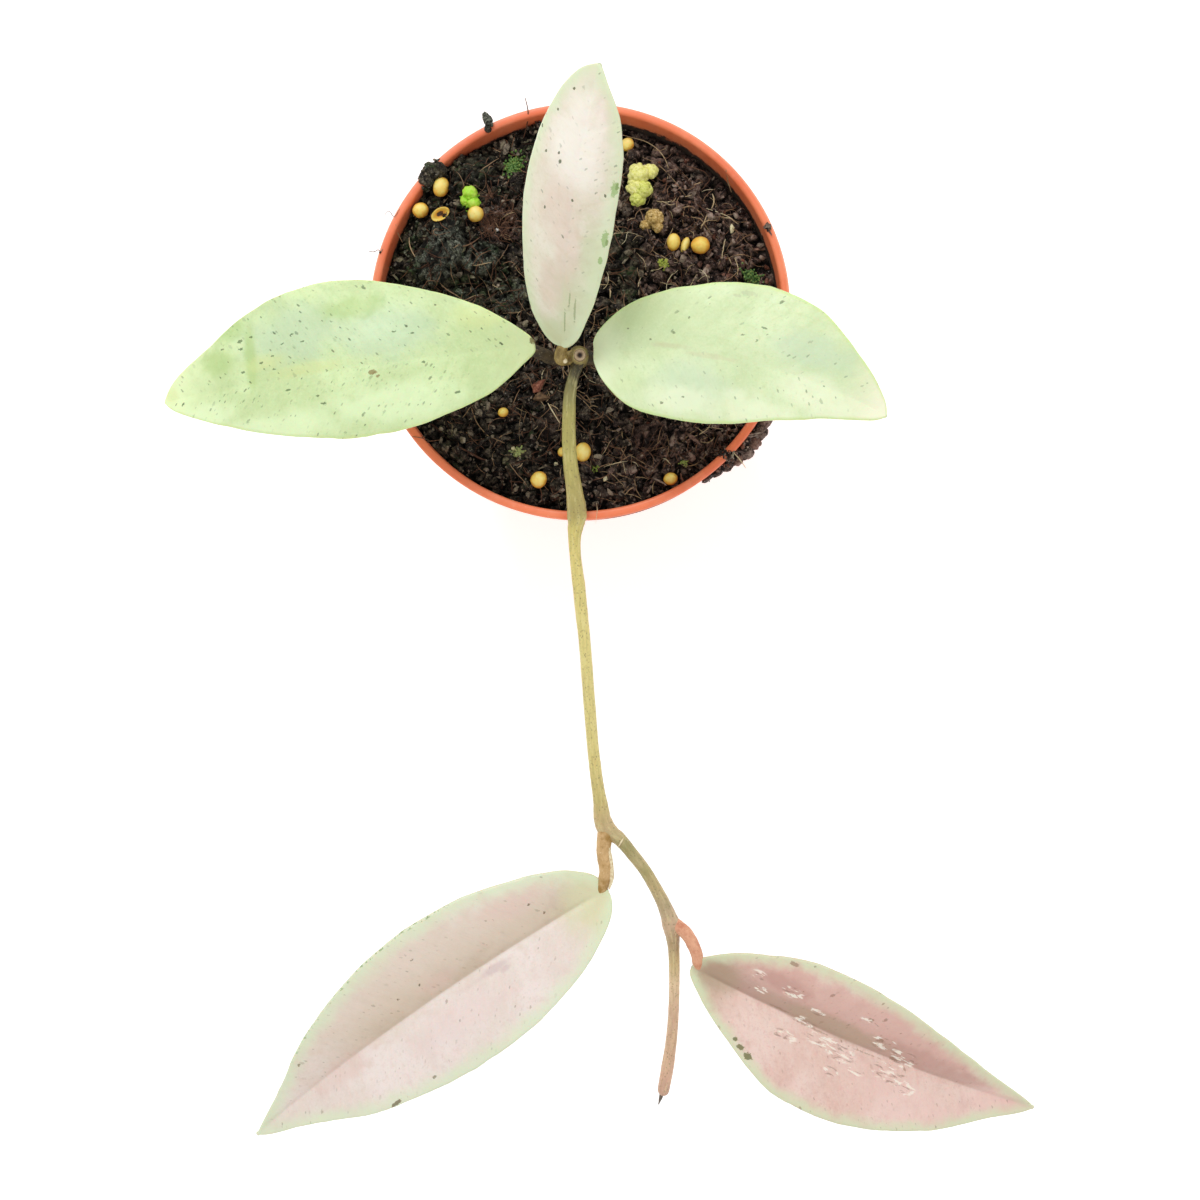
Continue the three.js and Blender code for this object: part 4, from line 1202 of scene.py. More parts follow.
def rounded(profile, radii, steps=6):
    """A profile whose corners are turned into arcs of the given radii, and long runs split up."""
    points = []
    count = len(profile)
    for i, (corner, radius) in enumerate(zip(profile, radii)):
        if radius == 0 or i in (0, count - 1):
            points.append(corner)
            continue
        here = np.array(corner, float)
        back = np.array(profile[i - 1]) - here
        ahead = np.array(profile[i + 1]) - here
        reach = min(radius, np.linalg.norm(back) / 2.2, np.linalg.norm(ahead) / 2.2)
        a = here + back / np.linalg.norm(back) * reach
        b = here + ahead / np.linalg.norm(ahead) * reach
        for f in np.linspace(0, 1, steps):
            points.append(tuple((1 - f) ** 2 * a + 2 * f * (1 - f) * here + f**2 * b))
    return points


def pot_profile():
    foot_inside = POT["base_radius"] - POT["foot_width"]
    corner = POT["corner"]
    recess = POT["recess"]
    height = POT["height"]
    lip_low = POT["rim_radius"] - POT["lip_draft"]
    corners = [
        ((0, 0), 0), ((POT["pad_radius"], 0), 0.4), ((POT["pad_radius"] + corner, recess), 0.4),
        ((foot_inside - corner, recess), 0.4), ((foot_inside, 0), 0.4), ((outer_wall(0) - 0.05, 0), 0.8),
        ((outer_wall(2), 2), 0), ((outer_wall(20), 20), 0), ((outer_wall(40), 40), 0),
        ((outer_wall(LIP_UNDERSIDE), LIP_UNDERSIDE), 0.5), ((lip_low, LIP_UNDERSIDE), 0.7),
        ((POT["rim_radius"], height), 0.75), ((MOUTH_RADIUS, height), 0.7),
        ((float(inner_wall(LIP_FLOOR)), LIP_FLOOR), 0.8), ((float(inner_wall(SHOULDER)), SHOULDER), 0.8),
        ((float(inner_wall(POT["floor"])), POT["floor"]), 1.2), ((0, POT["floor"]), 0),
    ]
    return rounded([point for point, _ in corners], [radius for _, radius in corners])


def split_runs(profile, longest):
    """The same profile with points added, so that no run is longer than longest."""
    points = [profile[0]]
    for start, end in zip(profile, profile[1:]):
        parts = max(1, math.ceil(math.dist(start, end) / longest))
        for k in range(1, parts + 1):
            f = k / parts
            points.append((start[0] * (1 - f) + end[0] * f, start[1] * (1 - f) + end[1] * f))
    return points


def pot_dirt(points):
    """How dirty the pot is: 0 clean, 1 caked. Soil sticks near its level inside and over the rim."""
    x, y, z = points.T
    radius = np.hypot(x, y)
    angle = np.degrees(np.arctan2(y, x))
    inside = smooth(inner_wall(z) - radius, -0.9, -0.2) * smooth(z, POT["floor"] - 1, POT["floor"])
    tide = smooth(-z, -67.6, -64.2)
    dirt = inside * tide * 0.85
    crumbly = 0.5 + 0.5 * fractal(points, 6, 3, 90)
    dirt = np.maximum(dirt, inside * 0.45 * crumbly)
    lip = smooth(radius, 41.4, 41.9) * smooth(-z, -69.6, -68.8) * smooth(z, 60.5, 62)
    spill = bell(turned(angle, -38), 11)  # down the outside at the front right
    dirt = np.maximum(dirt, spill * lip)
    run = bell(turned(angle, -72), 30) * lip
    dirt = np.maximum(dirt, 0.62 * run)
    heap = bell(turned(angle, 137), 4) * smooth(z, 66, 70)
    return np.maximum(dirt, 0.6 * heap)


def pot_edge_highlight(points):
    """How much painted highlight the plastic gets: paler along the outer edge of the rim, behind the middle.
    """
    x, y, z = points.T
    return smooth(np.hypot(x, y), 41.7, 42.4) * smooth(z, 68.9, 69.7) * smooth(y, -24, 4)


def add_pot():
    profile = split_runs(pot_profile(), 1.6)
    inner = profile[1:-1]
    sides = POT["segments"]
    angle = circle(sides)
    radius = np.array([point[0] for point in inner])
    height = np.array([point[1] for point in inner])
    x = radius[:, None] * np.cos(angle)
    y = radius[:, None] * np.sin(angle)
    z = np.repeat(height[:, None], sides, axis=1)
    points = np.stack([x, y, z], axis=-1).reshape(-1, 3)
    points = np.concatenate([points, [(0, 0, profile[0][1]), (0, 0, profile[-1][1])]])
    pot = build_one("pot_shell", "pot_plastic", pot_material(), points, loft_faces(len(inner), sides))
    drill_drains(pot)
    mesh = pot.data
    co = np.empty(3 * len(mesh.vertices))
    mesh.vertices.foreach_get("co", co)
    add_values(mesh, "dirt", pot_dirt(co.reshape(-1, 3) / MM))
    add_values(mesh, "edge_highlight", pot_edge_highlight(co.reshape(-1, 3) / MM))
    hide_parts("pot")


def drill_drains(pot):
    """Cuts the ring of drain holes through the pot's floor."""
    drill_mesh = bpy.data.meshes.new("drill")
    drill = bmesh.new()
    radius = POT["drain_radius"] * MM
    for i in range(POT["drain_count"]):
        angle = 2 * math.pi * i / POT["drain_count"]
        x, y = polar(POT["drain_circle"] * MM, angle)
        place = Matrix.Translation((x, y, POT["floor"] / 2 * MM))
        size = {"radius1": radius, "radius2": radius, "depth": 3 * POT["floor"] * MM}
        bmesh.ops.create_cone(drill, cap_ends=True, segments=48, matrix=place, **size)
    drill.to_mesh(drill_mesh)
    drill.free()
    tool = bpy.data.objects.new("drill", drill_mesh)
    bpy.context.scene.collection.objects.link(tool)
    cut = pot.modifiers.new("drains", "BOOLEAN")
    cut.operation = "DIFFERENCE"
    cut.solver = "EXACT"
    cut.object = tool
    apply_modifiers(pot)
    bpy.data.objects.remove(tool)
    pot.data.shade_smooth()


def apply_modifiers(piece):
    """Replaces the piece's mesh by what its modifiers make of it."""
    graph = bpy.context.evaluated_depsgraph_get()
    made = bpy.data.meshes.new_from_object(piece.evaluated_get(graph))
    piece.modifiers.clear()
    piece.data = made


# ---------------------------------------------------------------- soil

def soil_lumps():
    """Seeded lumps spread evenly over the surface: x, y, height, spread."""
    numbers = random_numbers(SOIL_SEED)
    golden = math.pi * (3 - math.sqrt(5))
    brim = MOUTH_RADIUS - 3 * SOIL_GAP
    lumps = []
    for i in range(SOIL_LUMPS):
        distance = (brim - 3) * math.sqrt((i + 0.5) / SOIL_LUMPS)
        angle = i * golden + 0.6 * next(numbers)
        height = np.interp(next(numbers), (0, 1), SOIL_LUMP_HEIGHT)
        spread = np.interp(next(numbers), (0, 1), SOIL_LUMP_SPREAD)
        lumps.append((*polar(distance, angle), height, spread))
    return lumps


LUMPS = soil_lumps()


def clod_distance(x, y, cx, cy, a, b, heading):
    """Distance from a clod's middle, 1 at its edge."""
    c, s = polar(1, math.radians(heading))
    return np.hypot(((x - cx) * c + (y - cy) * s) / a, ((y - cy) * c - (x - cx) * s) / b)


def soil_clods(x, y):
    """The clods' height at points, and how far up a clod each point is in 0..1."""
    points = level_points(x, y)
    ragged = 0.4 * fractal(points, 3.0, 4, 31)
    height, share = np.zeros(len(x)), np.zeros(len(x))
    for cx, cy, rise, a, b, heading, _ in CLODS:
        part = smooth(1.12 + ragged - clod_distance(x, y, cx, cy, a, b, heading), 0.0, 0.3)
        height = np.maximum(height, rise * part)
        share = np.maximum(share, part)
    return height, share


def soil_hue(x, y):
    """The soil's hue: grey green, below 0, at the left and purple brown, above 0, at the right."""
    points = level_points(x, y)
    hue = smooth(x + 5 * fractal(points, 9, 2, 61), -8, 26) - 0.45 * smooth(-x, 4, 26) * smooth(y, -12, 4)
    for cx, cy, _, a, b, heading, own in CLODS:
        hue += (own - hue) * smooth(1.2 - clod_distance(x, y, cx, cy, a, b, heading), 0, 0.4)
    red = np.exp(-(((x + 16.5) / 4) ** 2) - ((y - 18.5) / 4.5) ** 2)
    return hue + 1.6 * red


def soil_base(x, y):
    """Height of the soil without its crumbs: a heap at the back left, rolling relief and lumps."""
    height = np.full(np.shape(x), float(SOIL_LEVEL))
    for rise, one, other in SOIL_WAVES:
        first = np.sin(one[0] * x + one[1] * y + one[2])
        height += rise * first * np.sin(other[0] * x + other[1] * y + other[2])
    for cx, cy, rise, spread in [SOIL_HEAP, *LUMPS]:
        height += rise * np.exp(-((x - cx) ** 2 + (y - cy) ** 2) / spread**2)
    return height


def soil_swell(x, y):
    """Height of the soil without its broken bits: rolling relief, clods, and the shrunk edge."""
    clods, share = soil_clods(x, y)
    middle, spread, depth = SOIL_SHRINK
    turn = turned(np.degrees(np.arctan2(y, x)), middle)
    distance = np.hypot(x, y)
    shrink = depth * smooth(distance, 32, 39) + 0.6 * smooth(distance, 39.4, 40.3)
    return soil_base(x, y) + clods - bell(turn, spread) * shrink, share


def soil_height(x, y):
    """Height of the broken surface."""
    swell, share = soil_swell(x, y)
    points = level_points(x, y)
    warp = 1.0 * fractal(points, 2.6, 3, 55)
    sway = 1.0 * fractal(points, 2.6, 3, 56)
    loose = 1 - 0.75 * share
    height = swell + loose * (1.7 * broken(x + warp, y + sway, 3.0, 11) - 0.85)
    height += (0.4 + 0.6 * loose) * (0.85 * broken(x - sway, y + warp, 1.5, 17) - 0.35)
    height += 0.5 * broken(x + 0.5 * sway, y - 0.5 * warp, 0.85, 23)
    height += 0.16 * fractal(points, 0.8, 2, 41)
    height -= 0.6 * share * smooth(noise(points, 0.9, 43), 0.1, 0.55)
    lowest = SOIL_EDGE_LOWEST * smooth(np.hypot(x, y), 38.4, 39.2)
    return np.clip(height, lowest, POT["height"] + 1.4)


class Ground:
    """The soil's height on a fine square grid, for its own surface and for laying things on it."""

    def __init__(self):
        self.count = round(2 * MOUTH_RADIUS / GROUND_STEP) + 1
        line = np.linspace(-MOUTH_RADIUS, MOUTH_RADIUS, self.count)
        x, y = (part.ravel() for part in np.meshgrid(line, line, indexing="ij"))
        self.height = soil_height(x, y).reshape(self.count, self.count)

    def at(self, x, y):
        """The height at points, drawn straight between the grid's own."""
        u = (np.asarray(x, float) + MOUTH_RADIUS) / GROUND_STEP
        v = (np.asarray(y, float) + MOUTH_RADIUS) / GROUND_STEP
        i = np.clip(np.floor(u).astype(int), 0, self.count - 2)
        j = np.clip(np.floor(v).astype(int), 0, self.count - 2)
        f, g = np.clip(u - i, 0, 1), np.clip(v - j, 0, 1)
        near = self.height[i, j] * (1 - g) + self.height[i, j + 1] * g
        far = self.height[i + 1, j] * (1 - g) + self.height[i + 1, j + 1] * g
        return near * (1 - f) + far * f

    def under(self, x, y, radius):
        """A height that something of the given radius rests at: near the top of what is under it."""
        turn = np.linspace(0, 2 * np.pi, 12, endpoint=False)
        ring = np.concatenate([[0], np.full(12, 0.4 * radius), np.full(12, 0.8 * radius)])
        turn = np.concatenate([[0], turn, turn])
        return float(np.percentile(self.at(x + ring * np.cos(turn), y + ring * np.sin(turn)), 70))


GROUND = Ground()


def add_soil_surface(material):
    """The soil's body: its broken surface, and its sides and underside along the pot's wall."""
    sides = SOIL_SIDES
    radius = SOIL_BRIM * np.linspace(1, 0, SOIL_RINGS, endpoint=False)
    angle = circle(sides)
    x = (radius[:, None] * np.cos(angle)).ravel()
    y = (radius[:, None] * np.sin(angle)).ravel()
    upper = np.stack([x, y, GROUND.at(x, y)], axis=1)
    side_heights = [SOIL_BOTTOM, SOIL_BOTTOM + 1.2, 15, 30, 45, SHOULDER - 0.5, LIP_FLOOR - 0.3]
    side_rings = []
    for i, height in enumerate(side_heights):
        reach = inner_wall(height) - SOIL_GAP - (1.2 if i == 0 else 0)
        level = np.full(sides, float(height))
        ring = np.stack([reach * np.cos(angle), reach * np.sin(angle), level], axis=1)
        side_rings.append(ring)
    ends = [(0, 0, SOIL_BOTTOM), (0, 0, float(GROUND.at(0, 0)))]
    points = np.concatenate([*side_rings, upper, ends])
    x, y, z = points.T
    low = soil_swell(x, y)[0] - 0.9
    values = {
        "tone": np.clip(0.36 + 0.3 * fractal(points, 2.2, 3, 77), 0, 1),
        "hue": soil_hue(x, y),
        # open paints shade: 0 deep in a hollow, where the colour is darkened, and 1 on top.
        "open": np.clip((z - low) / 1.9, 0, 1),
    }
    faces = loft_faces(SOIL_RINGS + len(side_rings), sides)
    soil = build_one("soil_bed", "potting_soil", material, points, faces, **values)
    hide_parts("soil")


def crumb_shapes(rng):
    """A stock of broken bits to pick from, coarse and fine."""
    return {level: [chunk(level, rng) for _ in range(20)] for level in (2, 3)}


def add_crumb(pile, shapes, centre, size, rng, hue):
    """One bit of peat: a chunk, a flake or a splinter, with painted shade on its underside."""
    points, faces = shapes[3 if size > 0.5 else 2][rng.integers(20)]
    kind = rng.random()
    if kind < 0.45:
        points = (points * rng.uniform(0.65, 1.2, 3) * size) @ random_turn(rng).T
    else:
        flake = kind < 0.8
        long = rng.uniform(1.3, 2.0) if flake else rng.uniform(1.8, 3.0)
        stretch = (long, rng.uniform(0.6, 1.0), rng.uniform(0.25, 0.45)) if flake else (long, 0.4, 0.35)
        c, s = polar(1, rng.normal(0, 0.45))
        lean = np.array([[c, 0, s], [0, 1, 0], [-s, 0, c]])
        points = (points * stretch * size) @ lean.T @ turn_z(rng.uniform(0, 360)).T
    high = np.abs(points[:, 2]).max()
    tone = rng.beta(1.3, 3.4) if rng.random() < 0.8 else rng.uniform(0.5, 0.9)
    own_hue = hue + rng.normal(0, 0.3)
    light = np.clip(0.62 + 0.6 * points[:, 2] / high, 0, 1)
    pile.add(points + centre, [faces], tone=tone, hue=own_hue, open=light)


def rest_height(x, y):
    """What a thing lies on: the soil, or the rim's top."""
    return np.where(np.hypot(x, y) > MOUTH_RADIUS - 0.1, POT["height"], GROUND.at(x, y))


def taken(x, y, radius):
    """Whether something that was placed one by one is within radius of a spot."""
    return any(math.hypot(x - cx, y - cy) < own + radius for cx, cy, own in KEEP_CLEAR)


def add_crumbs(material):
    """Loose bits of peat all over the soil, from fine grit to pea-sized lumps."""
    rng = np.random.default_rng(12)
    shapes = crumb_shapes(rng)
    pile = Pile()
    distance = (SOIL_BRIM - 0.2) * np.sqrt(rng.random(CRUMB_COUNT))
    angle = 2 * np.pi * rng.random(CRUMB_COUNT)
    size = np.clip(rng.lognormal(-1.12, 0.5, CRUMB_COUNT), 0.13, 1.15)
    distance = np.minimum(distance, MOUTH_RADIUS - 0.4 - 1.2 * size)
    x, y = distance * np.cos(angle), distance * np.sin(angle)
    ground = GROUND.at(x, y)
    hue = soil_hue(x, y)
    _, share = soil_clods(x, y)
    for i in range(CRUMB_COUNT):
        if taken(x[i], y[i], 0.5 * size[i]) or rng.random() < 0.75 * share[i]:
            continue
        centre = (x[i], y[i], ground[i] + rng.uniform(0.0, 0.3) * size[i])
        add_crumb(pile, shapes, centre, size[i], rng, hue[i])
    pile.build("soil_crumbs", material)


def lip_radius(height):
    """Distance from the pot's axis to the outside of its lip."""
    return POT["rim_radius"] - POT["lip_draft"] * (POT["height"] - height) / POT["lip_height"]


def add_rim_dirt(material):
    """Soil that spilled onto the rim or clings to the outside of the lip, heaped where it is."""
    rng = np.random.default_rng(21)
    shapes = crumb_shapes(rng)
    pile = Pile()
    for angle, distance, height, across, along, up, tone, hue in RIM_LUMPS:
        points, faces, deep = cauliflower(rng, 34, 4)
        # open paints shade into the hollows between a lump's puffs.
        values = {"tone": tone, "hue": hue, "open": 1 - 0.8 * deep}
        place = np.array([distance, 0, height])
        points = (points * (across, along, up) + place) @ turn_z(angle).T
        pile.add(points, [faces], **values)
    for (start, end), (inner, outer), (low, high), count, size, hue in RIM_HEAPS:
        for _ in range(count):
            across = np.clip(rng.normal(0.5, 0.24), 0, 1)
            angle = math.radians(start + (end - start) * across)
            own = min(0.9, size * rng.lognormal(-0.25, 0.4))
            if high - low > 5:
                height = rng.uniform(low, high)
                heaped = (outer - inner) * rng.beta(1, 1.6) * math.sin(math.pi * across)
                distance = lip_radius(height) + 0.25 * own + heaped
            else:
                distance = rng.uniform(inner, outer)
                height = low + (high - low) * rng.random() * (1 - (2 * across - 1) ** 2)
                height = max(height, low + 0.2 * own)
            centre = np.array([*polar(distance, angle), height])
            gaps = [math.hypot(centre[0] - x, centre[1] - y) - radius for x, y, radius, *_ in GRANULES]
            if min(gaps) > own:
                add_crumb(pile, shapes, centre, own, rng, hue)
    pile.build("soil_rim_dirt", material)


def lay_fibre(pile, route, radius, tone, lift=0.12, arch=0.0):
    """A fibre along x, y points, lying on the soil or the rim, thinner at its ends."""
    route = np.array(route, float)
    share = np.linspace(0, 1, len(route))
    rest = rest_height(route[:, 0], route[:, 1])
    z = np.convolve(np.pad(rest, 2, mode="edge"), np.ones(5) / 5, mode="valid")
    z = np.maximum(z, rest - 0.1) + lift + radius + arch * np.sin(np.pi * share)
    thick = radius * (0.45 + 0.55 * np.sin(np.pi * np.clip(share, 0.06, 0.94)))
    points, faces, _, _ = tube(np.column_stack([route, z, thick]), 6, 0.5)
    pile.add(points, faces, tone=tone)


def curl_route(start, heading, length, bend, rng, steps=9):
    """x, y points of a loosely curved fibre."""
    way = math.radians(heading)
    points = [np.array(start, float)]
    for _ in range(steps - 1):
        way += math.radians(bend) / steps + rng.normal(0, 0.16)
        points.append(points[-1] + length / (steps - 1) * np.array(polar(1, way)))
    return points


# Fibres placed one by one: points x, y, then radius and tone from dark 0 to bleached 1.
HAND_FIBRES = [
    ([(-24.3, 13.0), (-23.4, 13.2), (-22.2, 13.8), (-20.2, 15.4)], 0.13, 0.55),
    ([(-35.0, 15.9), (-34.8, 14.4), (-34.4, 13.2), (-33.2, 10.9)], 0.12, 0.75),
    ([(-37.2, 17.6), (-37.0, 16.2), (-36.4, 15.0)], 0.1, 0.7),
    ([(-24.5, -27.3), (-22.2, -28.4), (-20.6, -29.3), (-19.4, -29.7)], 0.22, 0.3),
    ([(8.2, 37.8), (10.8, 37.2), (13.3, 36.4), (16.2, 34.2), (18.0, 30.9), (17.9, 28.0)], 0.09, 0.85),
    ([(27.2, 25.6), (27.5, 24.5), (27.4, 23.4), (26.9, 22.2)], 0.15, 0.85),
    ([(29.6, 28.2), (30.4, 26.6), (31.0, 25.4)], 0.14, 0.7),
    ([(5.9, 6.1), (6.2, 4.9), (6.1, 3.7)], 0.15, 0.85),
    ([(-6.5, -18.3), (-5.6, -20.0), (-5.0, -21.0), (-4.1, -22.4)], 0.14, 0.95),
    ([(-6.0, -18.6), (-4.6, -19.4), (-4.2, -19.9)], 0.1, 0.85),
    ([(0.6, -11.6), (1.2, -12.6), (2.0, -13.4), (3.2, -14.0)], 0.07, 0.95),
    ([(20.6, 21.8), (22.6, 22.1), (24.2, 21.4), (25.4, 20.1)], 0.12, 0.7),
    ([(12.8, 33.0), (15.4, 31.6), (18.4, 28.6), (21.6, 24.6)], 0.06, 0.7),
    ([(19.6, 31.4), (22.0, 28.8), (25.0, 26.0)], 0.06, 0.6),
    ([(23.6, 5.2), (27.0, 6.2), (30.4, 7.0), (32.4, 8.8)], 0.09, 0.6),
    ([(-11.0, 43.4), (-10.6, 41.8), (-10.4, 40.5), (-10.9, 38.6), (-11.6, 36.6)], 0.12, 0.35),
    ([(-33.6, -25.6), (-32.0, -25.8), (-30.4, -26.0), (-28.6, -25.6)], 0.1, 0.5),
    ([(31.0, -29.2), (31.9, -30.2), (32.8, -31.4), (33.3, -32.2)], 0.1, 0.9),
    ([(1.2, -38.4), (1.3, -40.6), (1.0, -42.4), (1.2, -43.6)], 0.06, 0.95),
    ([(3.4, -38.8), (3.6, -41.0), (3.3, -43.2)], 0.06, 0.9),
    ([(-40.6, 12.6), (-41.6, 12.0), (-42.7, 12.2)], 0.08, 0.1),
    ([(-36.4, 20.8), (-37.6, 19.2), (-38.6, 20.4), (-39.6, 19.4)], 0.06, 0.2),
]


def random_spot(rng, brim):
    """A random place within brim of the pot's axis."""
    distance = brim * math.sqrt(rng.random())
    angle = 2 * math.pi * rng.random()
    return polar(distance, angle)


def add_fibres(material):
    rng = np.random.default_rng(5)
    pile = Pile()
    for route, radius, tone in HAND_FIBRES:
        lay_fibre(pile, route, radius, tone, 0.15)
    for _ in range(FIBRE_COUNT):
        start = random_spot(rng, SOIL_BRIM - 2.5)
        length = rng.lognormal(1.2, 0.5)
        route = curl_route(start, rng.uniform(0, 360), length, rng.normal(0, 60), rng)
        route = [point for point in route if np.hypot(*point) < SOIL_BRIM - 0.5]
        if len(route) < 4:
            continue
        tone = float(np.clip(rng.beta(1.9, 2.6) + 0.004 * start[0], 0, 1))
        lay_fibre(pile, route, rng.uniform(0.035, 0.1), tone, 0.1, rng.uniform(0, 0.5))
    count, across, along = PEAT_MAT
    for _ in range(count):
        start = (rng.uniform(*across), rng.uniform(*along))
        route = curl_route(start, rng.normal(75, 38), rng.uniform(1.6, 4.2), rng.normal(0, 50), rng, 7)
        lay_fibre(pile, route, rng.uniform(0.05, 0.1), rng.uniform(0.22, 0.5), 0.12, rng.uniform(0, 0.5))
    pile.build("soil_fibres", material)


def add_granules(material):
    for i, (x, y, radius, stretch, heading, orange) in enumerate(GRANULES):
        points, faces = BALLS[4]
        # lift paints light: the height on the ball, paler at the top.
        lift = points[:, 2].copy()
        bumps = 1 + 0.07 * fractal(points + 7.0 * i, 1.1, 3) + 0.012 * fractal(points + i, 0.25, 2)
        points = points * bumps[:, None] * (radius * stretch, radius / math.sqrt(stretch), radius * 0.95)
        points = points @ turn_z(heading).T
        ground = GROUND.under(x, y, radius)
        points = points + (x, y, ground + 0.55 * radius)
        name = f"granule_{i + 1}"
        build_one(name, "fertiliser_granule", material, points, [faces], tone=orange, lift=lift)
    add_half_shell(material)


def add_half_shell(material):
    """A spent granule that split: a thin boat-shaped bowl, open at the top."""
    x, y, long, wide, heading, tilt = HALF_SHELL
    wall = 0.14
    steps = 14
    fall = np.linspace(0.05, math.pi / 2, steps)
    outside = np.column_stack([np.sin(fall), -np.cos(fall)])
    inside = outside[::-1] * (1 - wall)
    profile = np.concatenate([outside, inside])
    sides = 48
    angle = circle(sides)
    ragged = 1 + 0.07 * np.sin(3 * angle + 1) + 0.05 * np.sin(7 * angle)
    rim = np.exp(-((profile[:, 1] / 0.5) ** 2))
    px = profile[:, :1] * np.cos(angle)
    py = profile[:, :1] * np.sin(angle)
    pz = profile[:, 1:] + rim[:, None] * (ragged - 1)
    points = np.stack([px, py, pz], axis=-1).reshape(-1, 3)
    points = np.concatenate([points, [(0, 0, -1), (0, 0, -1 + wall)]]) * (long, wide, wide)
    c, s = polar(1, math.radians(tilt))
    lean = np.array([[1, 0, 0], [0, c, -s], [0, s, c]])
    points = points @ lean.T @ turn_z(heading).T
    # lift paints shade in the bowl: darker inside and further down.
    lift = np.where(np.arange(len(points)) < steps * sides, 0.2, 0.75)
    lift[-1] = -0.6
    lift[steps * sides : -2] -= np.repeat(1.5 * np.linspace(0, 1, steps) ** 2, sides)
    ground = GROUND.under(x, y, 1.4)
    points = points + (x, y, ground + 0.85 * wide)
    faces = loft_faces(2 * steps, sides)
    build_one("granule_shell", "fertiliser_granule", material, points, faces, tone=0.1, lift=lift)


def add_clumps():
    rng = np.random.default_rng(60)
    materials = {name: clump_material(f"clump_{name}", *tones) for name, tones in CLUMP_COLOURS.items()}
    for name, kind, bodies in CLUMPS:
        pile = Pile()
        for x, y, a, b, height in bodies:
            points, faces, hollow = cauliflower(rng)
            points = (points * (a, b, height)) @ turn_z(rng.uniform(-20, 20)).T
            ground = GROUND.under(x, y, 0.8 * a)
            pile.add(points + (x, y, ground + 0.35 * height), [faces], hollow=hollow)
        pile.build(name, materials[kind])
    for name, kind, x, y, a, b, height, heading in BITS:
        points, faces = chunk(4, rng, 12, 0.2)
        points = (points * (a, b, height)) @ turn_z(heading).T
        ground = GROUND.under(x, y, 0.8 * b)
        # hollow paints shade: darker toward the bit's underside.
        hollow = np.clip(0.5 - points[:, 2] / height, 0, 1)
        points = points + (x, y, ground + 0.5 * height)
        build_one(name, "potting_soil", materials[kind], points, [faces], hollow=hollow)


def spindle(way, length, width):
    """A tiny pointed leaf: a slim five-sided spindle from the origin along way."""
    way = way / np.linalg.norm(way)
    side = np.cross(way, (0.31, 0.82, 0.47))
    side /= np.linalg.norm(side)
    other = np.cross(way, side)
    points = [np.zeros(3)]
    for share, radius in ((0.25, 0.9), (0.6, 1.0), (0.85, 0.5)):
        for k in range(5):
            angle = 2 * math.pi * k / 5
            ring = side * math.cos(angle) + other * math.sin(angle)
            points.append(way * length * share + ring * width * radius)
    points.append(way * length)
    quads = []
    fans = []
    for k in range(5):
        n = (k + 1) % 5
        fans.append((0, 1 + n, 1 + k))
        fans.append((16, 11 + k, 11 + n))
        for ring in range(2):
            low = 1 + 5 * ring
            quads.append((low + k, low + n, low + 5 + n, low + 5 + k))
    tip = [0, *[0.25] * 5, *[0.6] * 5, *[0.85] * 5, 1]
    return np.array(points), [np.array(quads), np.array(fans)], np.array(tip)


def add_moss():
    for i, (name, x, y, a, b, heading, count, size, width, colour) in enumerate(MOSS):
        rng = np.random.default_rng(30 + i)
        pile = Pile()
        turn = turn_z(heading)
        for _ in range(count):
            spot = np.array([*np.clip(rng.normal(0, 0.45, 2), -1.1, 1.1), 0]) * (a, b, 0) @ turn.T
            px, py = x + spot[0], y + spot[1]
            dome = 0.8 * bell(np.hypot(spot[0] / a, spot[1] / b), 0.8)
            way = np.array([rng.normal(0, 0.8) + spot[0] / a, rng.normal(0, 0.8) + spot[1] / b, 1.0])
            points, faces, tip = spindle(way, size * rng.uniform(0.6, 1.25), width * rng.uniform(0.75, 1.2))
            place = (px, py, float(GROUND.at(px, py)) - 0.1 + dome * rng.uniform(0.3, 1))
            pile.add(points + place, faces, tip=tip)
        pile.build(name, moss_material(name, colour))
    rng = np.random.default_rng(47)
    pile = Pile()
    for x, y, a, b, height in CUSHIONS:
        points, faces, deep = cauliflower(rng, 44)
        ground = GROUND.under(x, y, a)
        # tip paints shade: darker deep in a cushion's hollows.
        pile.add(points * (a, b, height) + (x, y, ground + 0.45 * height), [faces], tip=1.05 - deep)
    pile.build("moss_lime", moss_material("moss_lime", "A9E62E"))


# ---------------------------------------------------------------- stems

def stem_values(far, turn, radius):
    """Place on a stem's skin: along it, and round it as a loop without a seam."""
    return np.column_stack([far, radius * np.cos(turn), radius * np.sin(turn)])


def scurf_at(points, spots):
    """How corky the skin is near some spots: x, y, z, radius, strength."""
    scurf = np.zeros(len(points))
    for x, y, z, radius, strength in spots:
        gap = np.linalg.norm(points - (x, y, z), axis=1)
        scurf = np.maximum(scurf, strength * bell(gap, radius))
    return scurf


